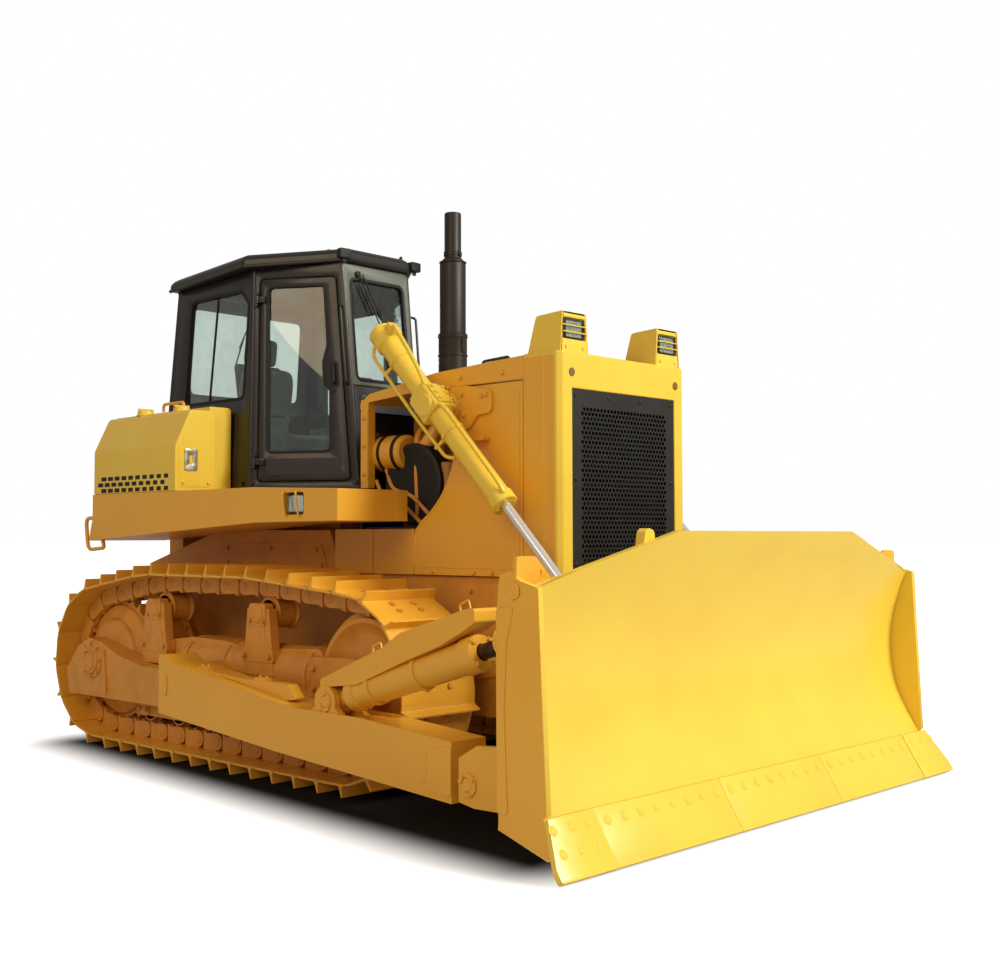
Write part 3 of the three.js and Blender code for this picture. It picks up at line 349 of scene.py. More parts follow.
def arc(centre, radius, start, end, steps=12):
    """Points on an arc, in degrees."""
    angles = [radians(start + (end - start) * k / steps) for k in range(steps + 1)]
    return [(centre[0] + radius * cos(a), centre[1] + radius * sin(a)) for a in angles]


ALONG = {
    "x": lambda a, b, c: (c, a, b),
    "y": lambda a, b, c: (a, c, b),
    "z": lambda a, b, c: (a, b, c),
}


def plate(bm, outline, axis, start, end):
    """A plate: a closed outline pushed along an axis. The outline's pairs are the other two axes in order."""
    point = ALONG[axis]
    lower = [bm.verts.new(point(a, b, start)) for a, b in outline]
    upper = [bm.verts.new(point(a, b, end)) for a, b in outline]
    count = len(outline)
    bm.faces.new(lower[::-1])
    bm.faces.new(upper)
    for k in range(count):
        after = (k + 1) % count
        bm.faces.new((lower[k], lower[after], upper[after], upper[k]))
    return lower + upper


def block(bm, x0, x1, y0, y1, z0, z1):
    return plate(bm, rectangle(x0, x1, y0, y1), "z", z0, z1)


def basis(direction):
    """A turn that takes +Z to a direction."""
    return Vector(direction).to_track_quat("Z", "Y").to_matrix().to_4x4()


def turned(bm, profile, foot, direction, sides=32):
    """A lathe-turned body: (distance, radius) pairs along a direction from its foot."""
    matrix = Matrix.Translation(foot) @ basis(direction)
    rings = []
    made = []
    for distance, radius in profile:
        if radius < 0.01:
            rings.append([bm.verts.new(matrix @ Vector((0, 0, distance)))])
        else:
            angles = [2 * pi * k / sides for k in range(sides)]
            rings.append([bm.verts.new(matrix @ Vector((radius * cos(a), radius * sin(a), distance)))
                          for a in angles])
        made += rings[-1]
    for here, there in zip(rings, rings[1:]):
        for k in range(sides):
            after = (k + 1) % sides
            if len(here) == 1 and len(there) > 1:
                bm.faces.new((here[0], there[after], there[k]))
            elif len(there) == 1 and len(here) > 1:
                bm.faces.new((here[k], here[after], there[0]))
            elif len(here) > 1:
                bm.faces.new((here[k], here[after], there[after], there[k]))
    if len(rings[0]) > 1:
        bm.faces.new(rings[0][::-1])
    if len(rings[-1]) > 1:
        bm.faces.new(rings[-1])
    return made


def rod(bm, start, end, radius, sides=24):
    run = Vector(end) - Vector(start)
    return turned(bm, [(0, radius), (run.length, radius)], start, run, sides)


def bolt(bm, place, direction, size=24, washer=True):
    """A hexagon bolt head on its washer."""
    matrix = Matrix.Translation(place) @ basis(direction)
    lift = size * 0.14 if washer else 0
    if washer:
        turned(bm, [(0, size * 0.78), (lift, size * 0.74)], place, direction, 14)
    radius = size * 0.577
    corners = [(radius * cos(pi / 3 * k), radius * sin(pi / 3 * k)) for k in range(6)]
    base = [bm.verts.new(matrix @ Vector((a, b, lift))) for a, b in corners]
    neck = [bm.verts.new(matrix @ Vector((a, b, lift + size * 0.46))) for a, b in corners]
    top = [bm.verts.new(matrix @ Vector((a * 0.84, b * 0.84, lift + size * 0.56))) for a, b in corners]
    bm.faces.new(top)
    bm.faces.new(base[::-1])
    for k in range(6):
        after = (k + 1) % 6
        bm.faces.new((base[k], base[after], neck[after], neck[k]))
        bm.faces.new((neck[k], neck[after], top[after], top[k]))


def bolt_circle(bm, centre, direction, radius, count, size=24, turn=0.0):
    matrix = Matrix.Translation(centre) @ basis(direction)
    for k in range(count):
        angle = 2 * pi * k / count + turn
        bolt(bm, matrix @ Vector((radius * cos(angle), radius * sin(angle), 0)), direction, size)


def smooth_path(points, steps=8):
    """A smooth curve through points, as a list of points."""
    path = [Vector(p) for p in points]
    path = [path[0] * 2 - path[1]] + path + [path[-1] * 2 - path[-2]]
    result = []
    for before, a, b, after in zip(path, path[1:], path[2:], path[3:]):
        for step in range(steps):
            t = step / steps
            result.append(0.5 * ((2 * a) + (b - before) * t + (2 * before - 5 * a + 4 * b - after) * t * t
                                 + (3 * a - before - 3 * b + after) * t ** 3))
    result.append(path[-2])
    return result


def pipe(bm, points, radius, sides=12, steps=8, smooth=True):
    """A round pipe along a path, with closed ends."""
    path = smooth_path(points, steps) if smooth and len(points) > 2 else [Vector(p) for p in points]
    rings = []
    normal = None
    for k, point in enumerate(path):
        run = (path[min(k + 1, len(path) - 1)] - path[max(k - 1, 0)]).normalized()
        if normal is None:
            normal = run.orthogonal().normalized()
        normal = (normal - run * normal.dot(run)).normalized()
        side = run.cross(normal)
        rings.append([bm.verts.new(point + (normal * cos(2 * pi * s / sides)
                                            + side * sin(2 * pi * s / sides)) * radius)
                      for s in range(sides)])
    for here, there in zip(rings, rings[1:]):
        for s in range(sides):
            after = (s + 1) % sides
            bm.faces.new((here[s], here[after], there[after], there[s]))
    bm.faces.new(rings[0][::-1])
    bm.faces.new(rings[-1])


def rounded_path(points, radius, steps=5):
    """A bent bar's path: straight runs with rounded bends."""
    path = [Vector(p) for p in points]
    result = [path[0]]
    for before, corner, after in zip(path, path[1:], path[2:]):
        back, ahead = before - corner, after - corner
        reach = min(radius, 0.45 * back.length, 0.45 * ahead.length)
        start, end = corner + back.normalized() * reach, corner + ahead.normalized() * reach
        for step in range(steps + 1):
            t = step / steps
            result.append(start * (1 - t) ** 2 + corner * 2 * t * (1 - t) + end * t * t)
    return result + [path[-1]]


def bent_bar(bm, points, radius, bend=40, sides=12):
    pipe(bm, rounded_path(points, bend), radius, sides, smooth=False)


def sheet_on(bm, outlines, matrix, near, far, edge=2.0):
    """A plate cut from sheet: the first outline less the others, laid in a plane and given a thickness.
    matrix takes the plane's own (a, b, depth) to millimetres; near and far are the plate's two depths."""
    curve = bpy.data.curves.new("cut", "CURVE")
    curve.dimensions = "2D"
    curve.fill_mode = "BOTH"
    curve.extrude = abs(far - near) / 2 - edge
    curve.bevel_depth = edge
    curve.bevel_resolution = 1
    curve.offset = -edge
    for outline in outlines:
        spline = curve.splines.new("POLY")
        spline.points.add(len(outline) - 1)
        for point, (a, b) in zip(spline.points, outline):
            point.co = (a, b, 0, 1)
        spline.use_cyclic_u = True
    carrier = bpy.data.objects.new("cut", curve)
    mesh = bpy.data.meshes.new_from_object(carrier)
    mesh.transform(matrix @ Matrix.Translation((0, 0, (near + far) / 2)))
    before = len(bm.verts)
    bm.from_mesh(mesh)
    bm.verts.ensure_lookup_table()
    bmesh.ops.remove_doubles(bm, verts=bm.verts[before:], dist=0.05)
    bpy.data.objects.remove(carrier)
    bpy.data.curves.remove(curve)
    bpy.data.meshes.remove(mesh)


def plane_at(origin, across, up):
    """The matrix of a plane: its (a, b, depth) axes are across, up and their cross product."""
    a = Vector(across).normalized()
    depth = a.cross(Vector(up)).normalized()
    b = depth.cross(a)
    matrix = Matrix((a, b, depth)).transposed().to_4x4()
    return Matrix.Translation(origin) @ matrix


OUT, UP, AHEAD, BACK = (1, 0, 0), (0, 0, 1), (0, -1, 0), (0, 1, 0)
FACING_X = plane_at((0, 0, 0), BACK, UP)


# ---------------------------------------------------------------- pieces

def soften(obj, edge, steps, angle):
    """Breaks the sharp edges by a width in millimetres and shades the rest smooth."""
    obj.data.shade_smooth()
    obj.data.set_sharp_from_angle(angle=radians(angle))
    if edge > 0:
        bevel = obj.modifiers.new("edges", "BEVEL")
        bevel.width = edge * MM * bpy.context.scene.dozer_sizes.edge
        bevel.segments = steps
        bevel.limit_method = "ANGLE"
        bevel.angle_limit = radians(angle)
        bevel.harden_normals = True


def placed(name, data):
    """A new object in the scene."""
    obj = bpy.data.objects.new(name, data)
    bpy.context.scene.collection.objects.link(obj)
    return obj


def finished(name, bm, move, edge, steps, angle, finish_name, body, slot, stands_for):
    """Turns a drawn mesh into a piece with its edges, finish and body, and hides the CAD nodes it stands for.
    """
    mesh = bpy.data.meshes.new(name)
    bm.to_mesh(mesh)
    bm.free()
    mesh.transform(move)
    obj = placed(name, mesh)
    soften(obj, edge, steps, angle)
    obj.data.materials.append(FINISHES[finish_name])
    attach(obj, body)
    slot or SLOTS.get(finish_name, BODY_SLOT)
    if stands_for:
        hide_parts(*stands_for)
    return obj


def piece(name, bm, finish_name, body="chassis", slot=None, stands_for=(), edge=0, steps=2, angle=32,
          mirror=False):
    """A piece of the machine from a mesh drawn in millimetres."""
    if mirror:
        bmesh.ops.scale(bm, vec=(-1, 1, 1), verts=bm.verts)
    bmesh.ops.recalc_face_normals(bm, faces=bm.faces)
    return finished(name, bm, TO_SCENE, edge, steps, angle, finish_name, body, slot, stands_for)


def from_cad(name, node, finish_name, body="chassis", slot=None, edge=0, steps=2, angle=28):
    """A CAD node's own shape with its edges broken, which stands for it."""
    bm = bmesh.new()
    bm.from_mesh(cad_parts[node].data)
    bmesh.ops.remove_doubles(bm, verts=bm.verts, dist=0.00002)
    bmesh.ops.dissolve_limit(bm, angle_limit=radians(0.6), verts=bm.verts, edges=bm.edges)
    return finished(name, bm, Matrix.Identity(4), edge, steps, angle, finish_name, body, slot, (node,))


def pair(draw, finish_name, body="chassis", slot=None, stands_for="", **options):
    """A piece for each side of the machine, named after the function that draws it at +X."""
    for side in ("left", "right"):
        bm = bmesh.new()
        draw(bm)
        replaced = (f"{stands_for}_{side}",) if stands_for else ()
        piece(f"{draw.__name__}_{side}", bm, finish_name, body.format(side=side), slot, replaced,
              mirror=side == "right", **options)


def drawn(draw, finish_name, body="chassis", slot=None, stands_for=(), **options):
    """One piece, named after the function that draws it."""
    bm = bmesh.new()
    draw(bm)
    return piece(draw.__name__, bm, finish_name, body, slot, stands_for, **options)


# ---------------------------------------------------------------- tracks

TRACK_X = (low("track_left", 0) + high("track_left", 0)) / 2
SHOE_HALF = (high("track_left", 0) - low("track_left", 0)) / 2
IDLER_Y = (low("idler_left", 1) + high("idler_left", 1)) / 2
SPROCKET = (0.0, (low("sprocket_left", 2) + high("sprocket_left", 2)) / 2)
IDLER = (IDLER_Y, (low("idler_left", 2) + high("idler_left", 2)) / 2)
LINK = 60
PLATE = 15
GROUSER = 66
PITCH = 216
SPROCKET_PIN = SPROCKET[1] - LINK - PLATE - GROUSER
IDLER_PIN = IDLER[1] - LINK - PLATE - GROUSER
CARRIERS = (-645, -1838)
CARRIER_RAIL = 1100


def track_pins():
    """The places of the track's pins, at even steps along its line."""
    line = arc(SPROCKET, SPROCKET_PIN, -90, 81, 57)
    line += [(y, CARRIER_RAIL + LINK) for y in CARRIERS]
    line += arc(IDLER, IDLER_PIN, 96, 270, 58)
    line = [Vector(p) for p in line]
    line.append(line[0])
    lengths = [0.0]
    for here, there in zip(line, line[1:]):
        lengths.append(lengths[-1] + (there - here).length)
    count = round(lengths[-1] / PITCH)
    pins = []
    for k in range(count):
        along = k * lengths[-1] / count
        i = next(n for n, length in enumerate(lengths) if length > along)
        pins.append(line[i - 1].lerp(line[i], (along - lengths[i - 1]) / (lengths[i] - lengths[i - 1])))
    return pins


def each_link():
    """For every link: a function from (along, outward) to (y, z), the outward direction and the pitch."""
    pins = track_pins()
    for k, pin in enumerate(pins):
        run = pins[(k + 1) % len(pins)] - pin
        length = run.length
        run = run.normalized()
        out = Vector((run.y, -run.x))

        def at(s, o, pin=pin, run=run, out=out):
            return tuple(pin + run * s + out * o)

        yield at, out, length


def track_shoes(bm):
    for at, _, length in each_link():
        face = LINK + PLATE
        section = [(4, LINK), (4, face - 7), (11, face), (20, face + 2), (27, face + 10),
                   (31, face + GROUSER), (43, face + GROUSER), (49, face + 10), (58, face + 2), (68, face),
                   (length - 26, face), (length + 40, face - 12), (length + 40, LINK - 3),
                   (length - 12, LINK - 3), (length - 12, LINK)]
        made = plate(bm, [at(s, o) for s, o in section], "x", TRACK_X - SHOE_HALF, TRACK_X + SHOE_HALF)
        for k, vert in enumerate(made):
            if k % len(section) in (5, 6):
                vert.co.x += copysign(11, TRACK_X - vert.co.x)


def track_bolts(bm):
    for at, out, _ in each_link():
        for dx in (-82, 82):
            for s in (84, 158):
                y, z = at(s, LINK + PLATE - 1)
                bolt(bm, (TRACK_X + dx, y, z), (0, out.x, out.y), 30, False)


def track_links(bm):
    for at, _, length in each_link():
        for side in (-1, 1):
            outer = arc((0, 0), 55, 95, 265, 9) + [(length * 0.58, -46), (length * 0.62, -59),
                                                   (length * 0.70, -59), (length * 0.70, 60), (20, 60)]
            inner = [(length * 0.32, 60), (length * 0.32, -59), (length * 0.42, -59), (length * 0.46, -46)]
            inner += arc((length, 0), 55, -85, 85, 9)
            outer_ends = sorted((TRACK_X + side * 70, TRACK_X + side * 100))
            inner_ends = sorted((TRACK_X + side * 42, TRACK_X + side * 71))
            plate(bm, [at(s, o) for s, o in outer], "x", *outer_ends)
            plate(bm, [at(s, o) for s, o in inner], "x", *inner_ends)
            y, z = at(0, 0)
            turned(bm, [(0, 30), (5, 30), (7, 26), (7, 12), (4, 10), (4, 0)],
                   (TRACK_X + side * 98, y, z), (side, 0, 0), 18)


def track_bushings(bm):
    for at, _, _ in each_link():
        y, z = at(0, 0)
        rod(bm, (TRACK_X - 45, y, z), (TRACK_X + 45, y, z), 34, 18)


def build_tracks():
    pair(track_shoes, "body", slot="track_paint", stands_for="track", edge=2.5, steps=1)
    pair(track_links, "casting", edge=2.5, steps=1)
    pair(track_bolts, "casting")
    pair(track_bushings, "steel", slot="track_paint", edge=2, steps=1)


# ---------------------------------------------------------------- wheels and roller frames

def sprocket(bm):
    teeth = bpy.context.scene.dozer_sizes.teeth
    root = SPROCKET_PIN - 40
    outline = []
    for k in range(teeth):
        for share, radius in ((-0.30, root), (-0.16, root + 16), (-0.09, SPROCKET_PIN + 8),
                              (0.09, SPROCKET_PIN + 8), (0.16, root + 16), (0.30, root)):
            angle = 2 * pi * (k + share) / teeth
            outline.append((SPROCKET[0] + radius * cos(angle), SPROCKET[1] + radius * sin(angle)))
    plate(bm, outline, "x", TRACK_X - 34, TRACK_X + 34)
    centre = (885, *SPROCKET)
    turned(bm, [(0, 200), (40, 214), (70, 230), (70, 372), (78, 384), (92, 384), (92, 392), (138, 392),
                (138, 384), (152, 384), (160, 372), (160, 330), (150, 318), (150, 300)], centre, OUT, 72)


def final_drive(bm):
    turned(bm, [(0, 396), (18, 396), (34, 384), (58, 318), (66, 300), (84, 296), (98, 284), (112, 252),
                (120, 206), (124, 120), (124, 0)], (1022, *SPROCKET), OUT, 72)


def idler(bm):
    rim = sqrt(IDLER_PIN ** 2 - (PITCH / 2) ** 2) - LINK
    half = 88
    side = [(102, 62), (102, 74), (84, 92), (60, 104), (52, 130), (44, rim - 110), (50, rim - 78),
            (72, rim - 50), (half, rim - 30), (half, rim - 5), (half - 5, rim), (40, rim), (34, rim + 6),
            (30, rim + 40)]
    profile = [(half + 14 - x, r) for x, r in side] + [(half + 14 + x, r) for x, r in side[::-1]]
    turned(bm, profile, (TRACK_X - half - 14, *IDLER), OUT, 80)
    for direction in (-1, 1):
        turned(bm, [(0, 96), (18, 90), (22, 60), (22, 0)], (TRACK_X + direction * 92, *IDLER),
               (direction, 0, 0), 40)
        bolt_circle(bm, (TRACK_X + direction * 106, *IDLER), (direction, 0, 0), 76, 6, 16)


def carrier_place(y):
    """The height of a carrier's axle under the links above it."""
    pins = track_pins()
    best = 1e9
    for here, there in zip(pins, pins[1:] + pins[:1]):
        beside = max(here.x, there.x) >= y - 250 and min(here.x, there.x) <= y + 250
        if min(here.y, there.y) < SPROCKET[1] or not beside:
            continue
        slope = (there.y - here.y) / (there.x - here.x)
        best = min(best, here.y + slope * (y - here.x) - (LINK + 95) * hypot(1, slope))
    return best


ROLLERS = [-470 - k * 360 for k in range(6)]
ROLLER_Z = 2 * LINK + PLATE + GROUSER + 100


def rollers(bm):
    for y in ROLLERS:
        profile = [(0, 60), (0, 92), (6, 98), (46, 99), (50, 112), (58, 112), (64, 99), (78, 82), (90, 78)]
        profile += [(180 - d, r) for d, r in profile[::-1]]
        turned(bm, profile, (TRACK_X - 90, y, ROLLER_Z), OUT, 40)
    for y in CARRIERS:
        z = carrier_place(y)
        profile = [(0, 40), (0, 84), (5, 90), (10, 108), (22, 108), (28, 95), (70, 95), (76, 70), (104, 70),
                   (110, 95), (152, 95), (158, 108), (170, 108), (175, 90), (180, 84), (180, 40)]
        turned(bm, profile, (TRACK_X - 90, y, z), OUT, 48)


def roller_frame_cover(bm):
    outer = TRACK_X + 130
    cover = rounded([(20, 560), (15, 611), (-380, 738), (-1005, 811), (-1413, 803), (-1608, 767),
                     (-1979, 788), (-2383, 808), (-2420, 640), (-2380, 560)],
                    [10, 20, 80, 120, 80, 80, 80, 60, 40, 20])
    plate(bm, cover, "x", TRACK_X - 112, outer - 30)
    housing = [(0, 60), (0, 150), (14, 164), (1276, 164), (1290, 150), (1290, 60)]
    turned(bm, housing, (TRACK_X, -2300, 644), BACK, 56)
    for y in (-1010, -1450, -2300):
        turned(bm, [(-15, 150), (-15, 174), (15, 174), (15, 150)], (TRACK_X, y, 644), BACK, 56)
    side = rounded([(-2200, 640), (-2320, 760), (-2640, 772), (-2796, 769), (-2949, 790), (-2960, 560),
                    (-2880, 470), (-2300, 500)], 40)
    plate(bm, side, "x", outer - 22, outer + 22)
    for place in ((-2380, 700), (-2380, 580), (-2860, 720), (-2860, 560), (-2620, 590)):
        bolt(bm, (outer + 21, *place), OUT, 34)
    turned(bm, [(0, 82), (12, 78), (14, 44), (24, 40), (24, 0)], (outer + 20, *IDLER), OUT, 36)
    for y in ROLLERS:
        block(bm, outer - 4, outer + 12, y - 62, y + 62, 246, 330)
        for dy in (-42, 42):
            bolt(bm, (outer + 12, y + dy, 290), OUT, 28)


def carrier_posts(bm):
    x0, x1 = TRACK_X + 112, TRACK_X + 174
    for y in CARRIERS:
        z = carrier_place(y)
        post = rounded([(y + 165, 700), (y - 165, 700), (y - 160, 772), (y - 112, 800), (y - 74, 862),
                        (y - 70, z - 70), (y + 70, z - 70), (y + 74, 862), (y + 112, 800), (y + 160, 772)],
                       22)
        plate(bm, post, "x", x0 - 8, x1)
        clamp = tile(y - 84, y + 84, z - 78, z + 62, 26)
        plate(bm, clamp, "x", x0, x1 + 4)
        turned(bm, [(0, 60), (8, 56), (10, 30), (10, 0)], (x1 + 3, y, z), OUT, 36)
        for dy in (-68, 68):
            bolt(bm, (x1 + 3, y + dy, z - 46), OUT, 24)
        for dy in (-128, 128):
            bolt(bm, (x1 - 2, y + dy, 742), OUT, 34)


def outer_arm_fittings(bm):
    hub = (TRACK_X + 270, 0, SPROCKET[1] + 13)
    turned(bm, [(0, 132), (10, 128), (14, 104), (30, 98), (36, 86), (36, 60), (28, 56), (28, 0)], hub, OUT,
           48)
    bolt_circle(bm, (TRACK_X + 281, hub[1], hub[2]), OUT, 117, 8, 20)
    keeper = arc((hub[1], hub[2]), 78, 40, 320, 20) + arc((hub[1], hub[2]), 60, 320, 40, 20)
    plate(bm, keeper, "x", hub[0] + 34, hub[0] + 44)
    rib = rounded([(-210, 380), (-170, 690), (-140, 690), (-176, 380)], 6, 2)
    plate(bm, rib, "x", TRACK_X + 265, TRACK_X + 284)


def build_wheels():
    pair(sprocket, "casting", stands_for="sprocket", edge=3, steps=2)
    pair(final_drive, "casting", edge=2)
    pair(idler, "casting", stands_for="idler", edge=3)
    pair(rollers, "casting", edge=2)


def build_roller_frames():
    for side in ("left", "right"):
        from_cad(f"roller_frame_{side}", f"track_frame_{side}", "casting")
    pair(roller_frame_cover, "casting", edge=6, steps=3)
    pair(carrier_posts, "casting", edge=4, steps=2)
    pair(outer_arm_fittings, "casting", edge=3)


# ---------------------------------------------------------------- push arms, tilt cylinder, brace

ARM_X = (low("push_arm_left", 0) + high("push_arm_left", 0)) / 2
ARM_OUT = high("push_arm_left", 0)
STRUT_REAR = Vector((-2950, 582))
STRUT_FRONT = Vector((-4300, 980))
STRUT_RUN = (STRUT_FRONT - STRUT_REAR).normalized()
STRUT_LENGTH = (STRUT_FRONT - STRUT_REAR).length
FRONT_PIN = (-4067, 279)


def strut_point(distance, lift=0.0, dx=0.0):
    """A point on the strut's line, lifted square to it and moved sideways."""
    place = STRUT_REAR + STRUT_RUN * distance + Vector((STRUT_RUN.y, -STRUT_RUN.x)) * -lift
    return (ARM_X + dx, place.x, place.y)


STRUT_WAY = (0, STRUT_RUN.x, STRUT_RUN.y)


def pin_keeper(bm, x, y, z, radius, turn=0):
    """A pin's end with its split keeper ring and bolts, facing outwards."""
    turned(bm, [(0, radius), (6, radius), (9, radius * 0.9), (9, 0)], (x, y, z), OUT, 32)
    outline = arc((y, z), radius + 26, turn + 35, turn + 325, 22)
    outline += arc((y, z), radius + 3, turn + 325, turn + 35, 22)
    plate(bm, outline, "x", x, x + 12)
    for angle in (90, 180, 270):
        a = radians(angle + turn)
        place = (x + 11, y + (radius + 14) * cos(a), z + (radius + 14) * sin(a))
        bolt(bm, place, OUT, 13)


def push_arm_fittings(bm):
    pin_keeper(bm, ARM_X + 98, STRUT_REAR.x, STRUT_REAR.y, 30, 20)
    cover = rounded([(-1345, 735), (-1413, 706), (-1500, 682), (-2104, 642), (-2560, 640), (-2640, 560),
                     (-2500, 545), (-1450, 690), (-1345, 715)], 14, 3)
    plate(bm, cover, "x", ARM_X - 14, ARM_X + 52)
    for y0, y1, z in ((-1640, -1745, 676), (-2230, -2335, 648)):
        block(bm, ARM_X - 8, ARM_X + 46, y1, y0, z - 22, z + 10)
        for y in (y0 - 22, y1 + 22):
            bolt(bm, (ARM_X + 18, y, z + 9), UP, 18)
    for y in (-1392, -3760):
        z = 560 if y == -1392 else 330
        weld = rounded([(y - 26, z - 70), (y + 26, z - 70), (y + 26, z + 70), (y - 26, z + 70)], 20)
        plate(bm, weld, "x", ARM_OUT - 4, ARM_OUT + 8)
    stiff = rounded([(-3960, 200), (-3800, 222), (-3760, 300), (-3800, 430), (-3960, 452)], 24, 3)
    plate(bm, stiff, "x", ARM_OUT - 4, ARM_OUT + 6)


def strut_ears_end(bm, ball):
    """A strut's rear eye with its ball cap."""
    turned(bm, [(0, 62), (0, 76), (6, 82), (90, 82), (96, 76), (96, 62)],
           (ARM_X - 48, STRUT_REAR.x, STRUT_REAR.y), OUT, 40)
    turned(bm, [(0, 58), (90, 50), (128, 52), (132, 56)], strut_point(40), STRUT_WAY, 32)
    if ball:
        bolt_circle(bm, (ARM_X + 47, STRUT_REAR.x, STRUT_REAR.y), OUT, 69, 6, 12)


def tilt_barrel(bm):
    strut_ears_end(bm, True)
    turned(bm, [(0, 60), (0, 90), (8, 97), (66, 97), (72, 88), (900, 88), (906, 96), (985, 96), (1000, 92),
                (1007, 84), (1007, 44), (996, 41)], strut_point(150), STRUT_WAY, 44)
    matrix = Matrix.Translation(strut_point(160)) @ basis(STRUT_WAY)
    for angle in (45, 135, 225, 315):
        a = radians(angle)
        place = matrix @ Vector((80 * cos(a), 80 * sin(a), 996))
        bolt(bm, place, STRUT_WAY, 24)
    for distance in (330, 700):
        turned(bm, [(0, 92), (0, 97), (30, 97), (30, 92)], strut_point(distance), STRUT_WAY, 40)


def tilt_hose_guard(bm):
    side = [(-2900, 655), (-2900, 700), (-3409, 899), (-3546, 982), (-4018, 1120), (-4090, 1130),
            (-4090, 1060), (-4010, 1012), (-3840, 930), (-3560, 830), (-3200, 690)]
    plate(bm, rounded(side, [6, 16, 120, 120, 40, 20, 20, 30, 80, 80, 20], 5), "x", ARM_X - 74, ARM_X + 92)
    for y, z in ((-3300, 868), (-3960, 1112)):
        bent_bar(bm, [(ARM_X + 30, y + 24, z - 20), (ARM_X + 30, y + 34, z + 26),
                      (ARM_X + 30, y - 30, z + 52), (ARM_X + 30, y - 44, z + 4)], 6, 14, 10)


def blade_brace(bm):
    strut_ears_end(bm, False)
    turned(bm, [(0, 52), (10, 62), (800, 62), (806, 78), (905, 78), (912, 72), (912, 42)], strut_point(150),
           STRUT_WAY, 36)
    for k in range(16):
        turned(bm, [(0, 40), (3, 43), (6, 43), (9, 40)], strut_point(1070 + k * 13), STRUT_WAY, 24)
    tilt_rod_end(bm)


def tilt_rod_end(bm):
    """The strut's front eye."""
    outline = arc((STRUT_FRONT.x, STRUT_FRONT.y), 62, 0, 350, 35)
    hole = arc((STRUT_FRONT.x, STRUT_FRONT.y), 44, 0, 350, 35)
    sheet_on(bm, [outline, hole], FACING_X, ARM_X - 40, ARM_X + 40, 3)
    turned(bm, [(0, 40), (30, 50), (60, 52)], strut_point(STRUT_LENGTH - 150), STRUT_WAY, 28)
    turned(bm, [(0, 52), (44, 44)], strut_point(STRUT_LENGTH - 90), STRUT_WAY, 28)


def tilt_rod(bm):
    rod(bm, strut_point(900), strut_point(STRUT_LENGTH - 140), 40, 36)


def right_piece(draw, finish_name, body, stands_for=(), **options):
    """A piece drawn at +X that belongs only on the machine's right."""
    return drawn(draw, finish_name, body, stands_for=stands_for, mirror=True, **options)


def build_push_arms():
    for side in ("left", "right"):
        from_cad(f"push_arm_{side}", f"push_arm_{side}", "body", f"{side}_arm", edge=8, steps=3)
    pair(push_arm_fittings, "body", "{side}_arm", edge=3)


def build_tilt_struts():
    right_piece(tilt_barrel, "body", "tilt_cylinder", ("tilt_barrel",), edge=2)
    right_piece(tilt_hose_guard, "body", "tilt_cylinder", edge=2)
    right_piece(tilt_rod, "oiled", "tilt_piston", ("tilt_rod",), edge=1, slot="rod_chrome")
    right_piece(tilt_rod_end, "oiled", "tilt_piston")
    drawn(blade_brace, "body", "brace", stands_for=("blade_brace",), edge=2)


# ---------------------------------------------------------------- lift cylinders

LIFT_X = 750
LIFT_TOP = Vector((-2990, 2247))
LIFT_ANGLE = radians(45.7)
LIFT_RUN = Vector((-cos(LIFT_ANGLE), -sin(LIFT_ANGLE)))
LIFT_HEAD = 690
LIFT_GLAND = 834
LIFT_EYE = 1920
LIFT_WAY = (0, LIFT_RUN.x, LIFT_RUN.y)


def lift_point(distance, dx=0.0, lift=0.0):
    """A point on the lift cylinder's line: sideways by dx, and lifted to its upper front side."""
    place = LIFT_TOP + LIFT_RUN * distance + Vector((LIFT_RUN.y, -LIFT_RUN.x)) * lift
    return (LIFT_X + dx, place.x, place.y)


def lift_block(bm, d0, d1, half, rise, chamfer):
    """A block square to the cylinder's line, from d0 to d1 along it."""
    sheet_on(bm, [tile(-half, half, -rise, rise, chamfer, 3)], lift_frame(), d0, d1, 3)


def lift_frame():
    """The cylinder's own axes: across, up from it, and along it."""
    along = Vector(LIFT_WAY)
    across = Vector((1, 0, 0))
    up = along.cross(across)
    matrix = Matrix((across, up, along)).transposed().to_4x4()
    return Matrix.Translation(lift_point(0)) @ matrix


def lift_barrel(bm):
    turned(bm, [(0, 60), (0, 68), (1520, 68)], lift_point(-LIFT_HEAD), LIFT_WAY, 44)
    head = [(0, 0), (0, 70), (8, 80), (56, 80), (60, 74), (66, 74), (70, 80), (134, 80), (142, 68)]
    turned(bm, head, lift_point(-LIFT_HEAD), LIFT_WAY, 44)
    turned(bm, [(0, 74), (0, 78), (60, 78), (66, 72), (66, 34), (60, 30)], lift_point(LIFT_GLAND - 66),
           LIFT_WAY, 40)
    lift_block(bm, -104, 78, 84, 84, 24)
    lift_block(bm, -126, -102, 76, 76, 30)
    turned(bm, [(0, 74), (18, 72), (26, 62), (26, 0)], (LIFT_X + 68, *LIFT_TOP), OUT, 36)
    frame_matrix = lift_frame()
    for turn in (45, 135, 225, 315):
        dx, up = 54 * cos(radians(turn)), 54 * sin(radians(turn))
        bolt(bm, frame_matrix @ Vector((dx, up, -LIFT_HEAD + 2)), [-c for c in LIFT_WAY], 24)
        bolt(bm, frame_matrix @ Vector((dx, up, LIFT_GLAND - 2)), LIFT_WAY, 14, False)


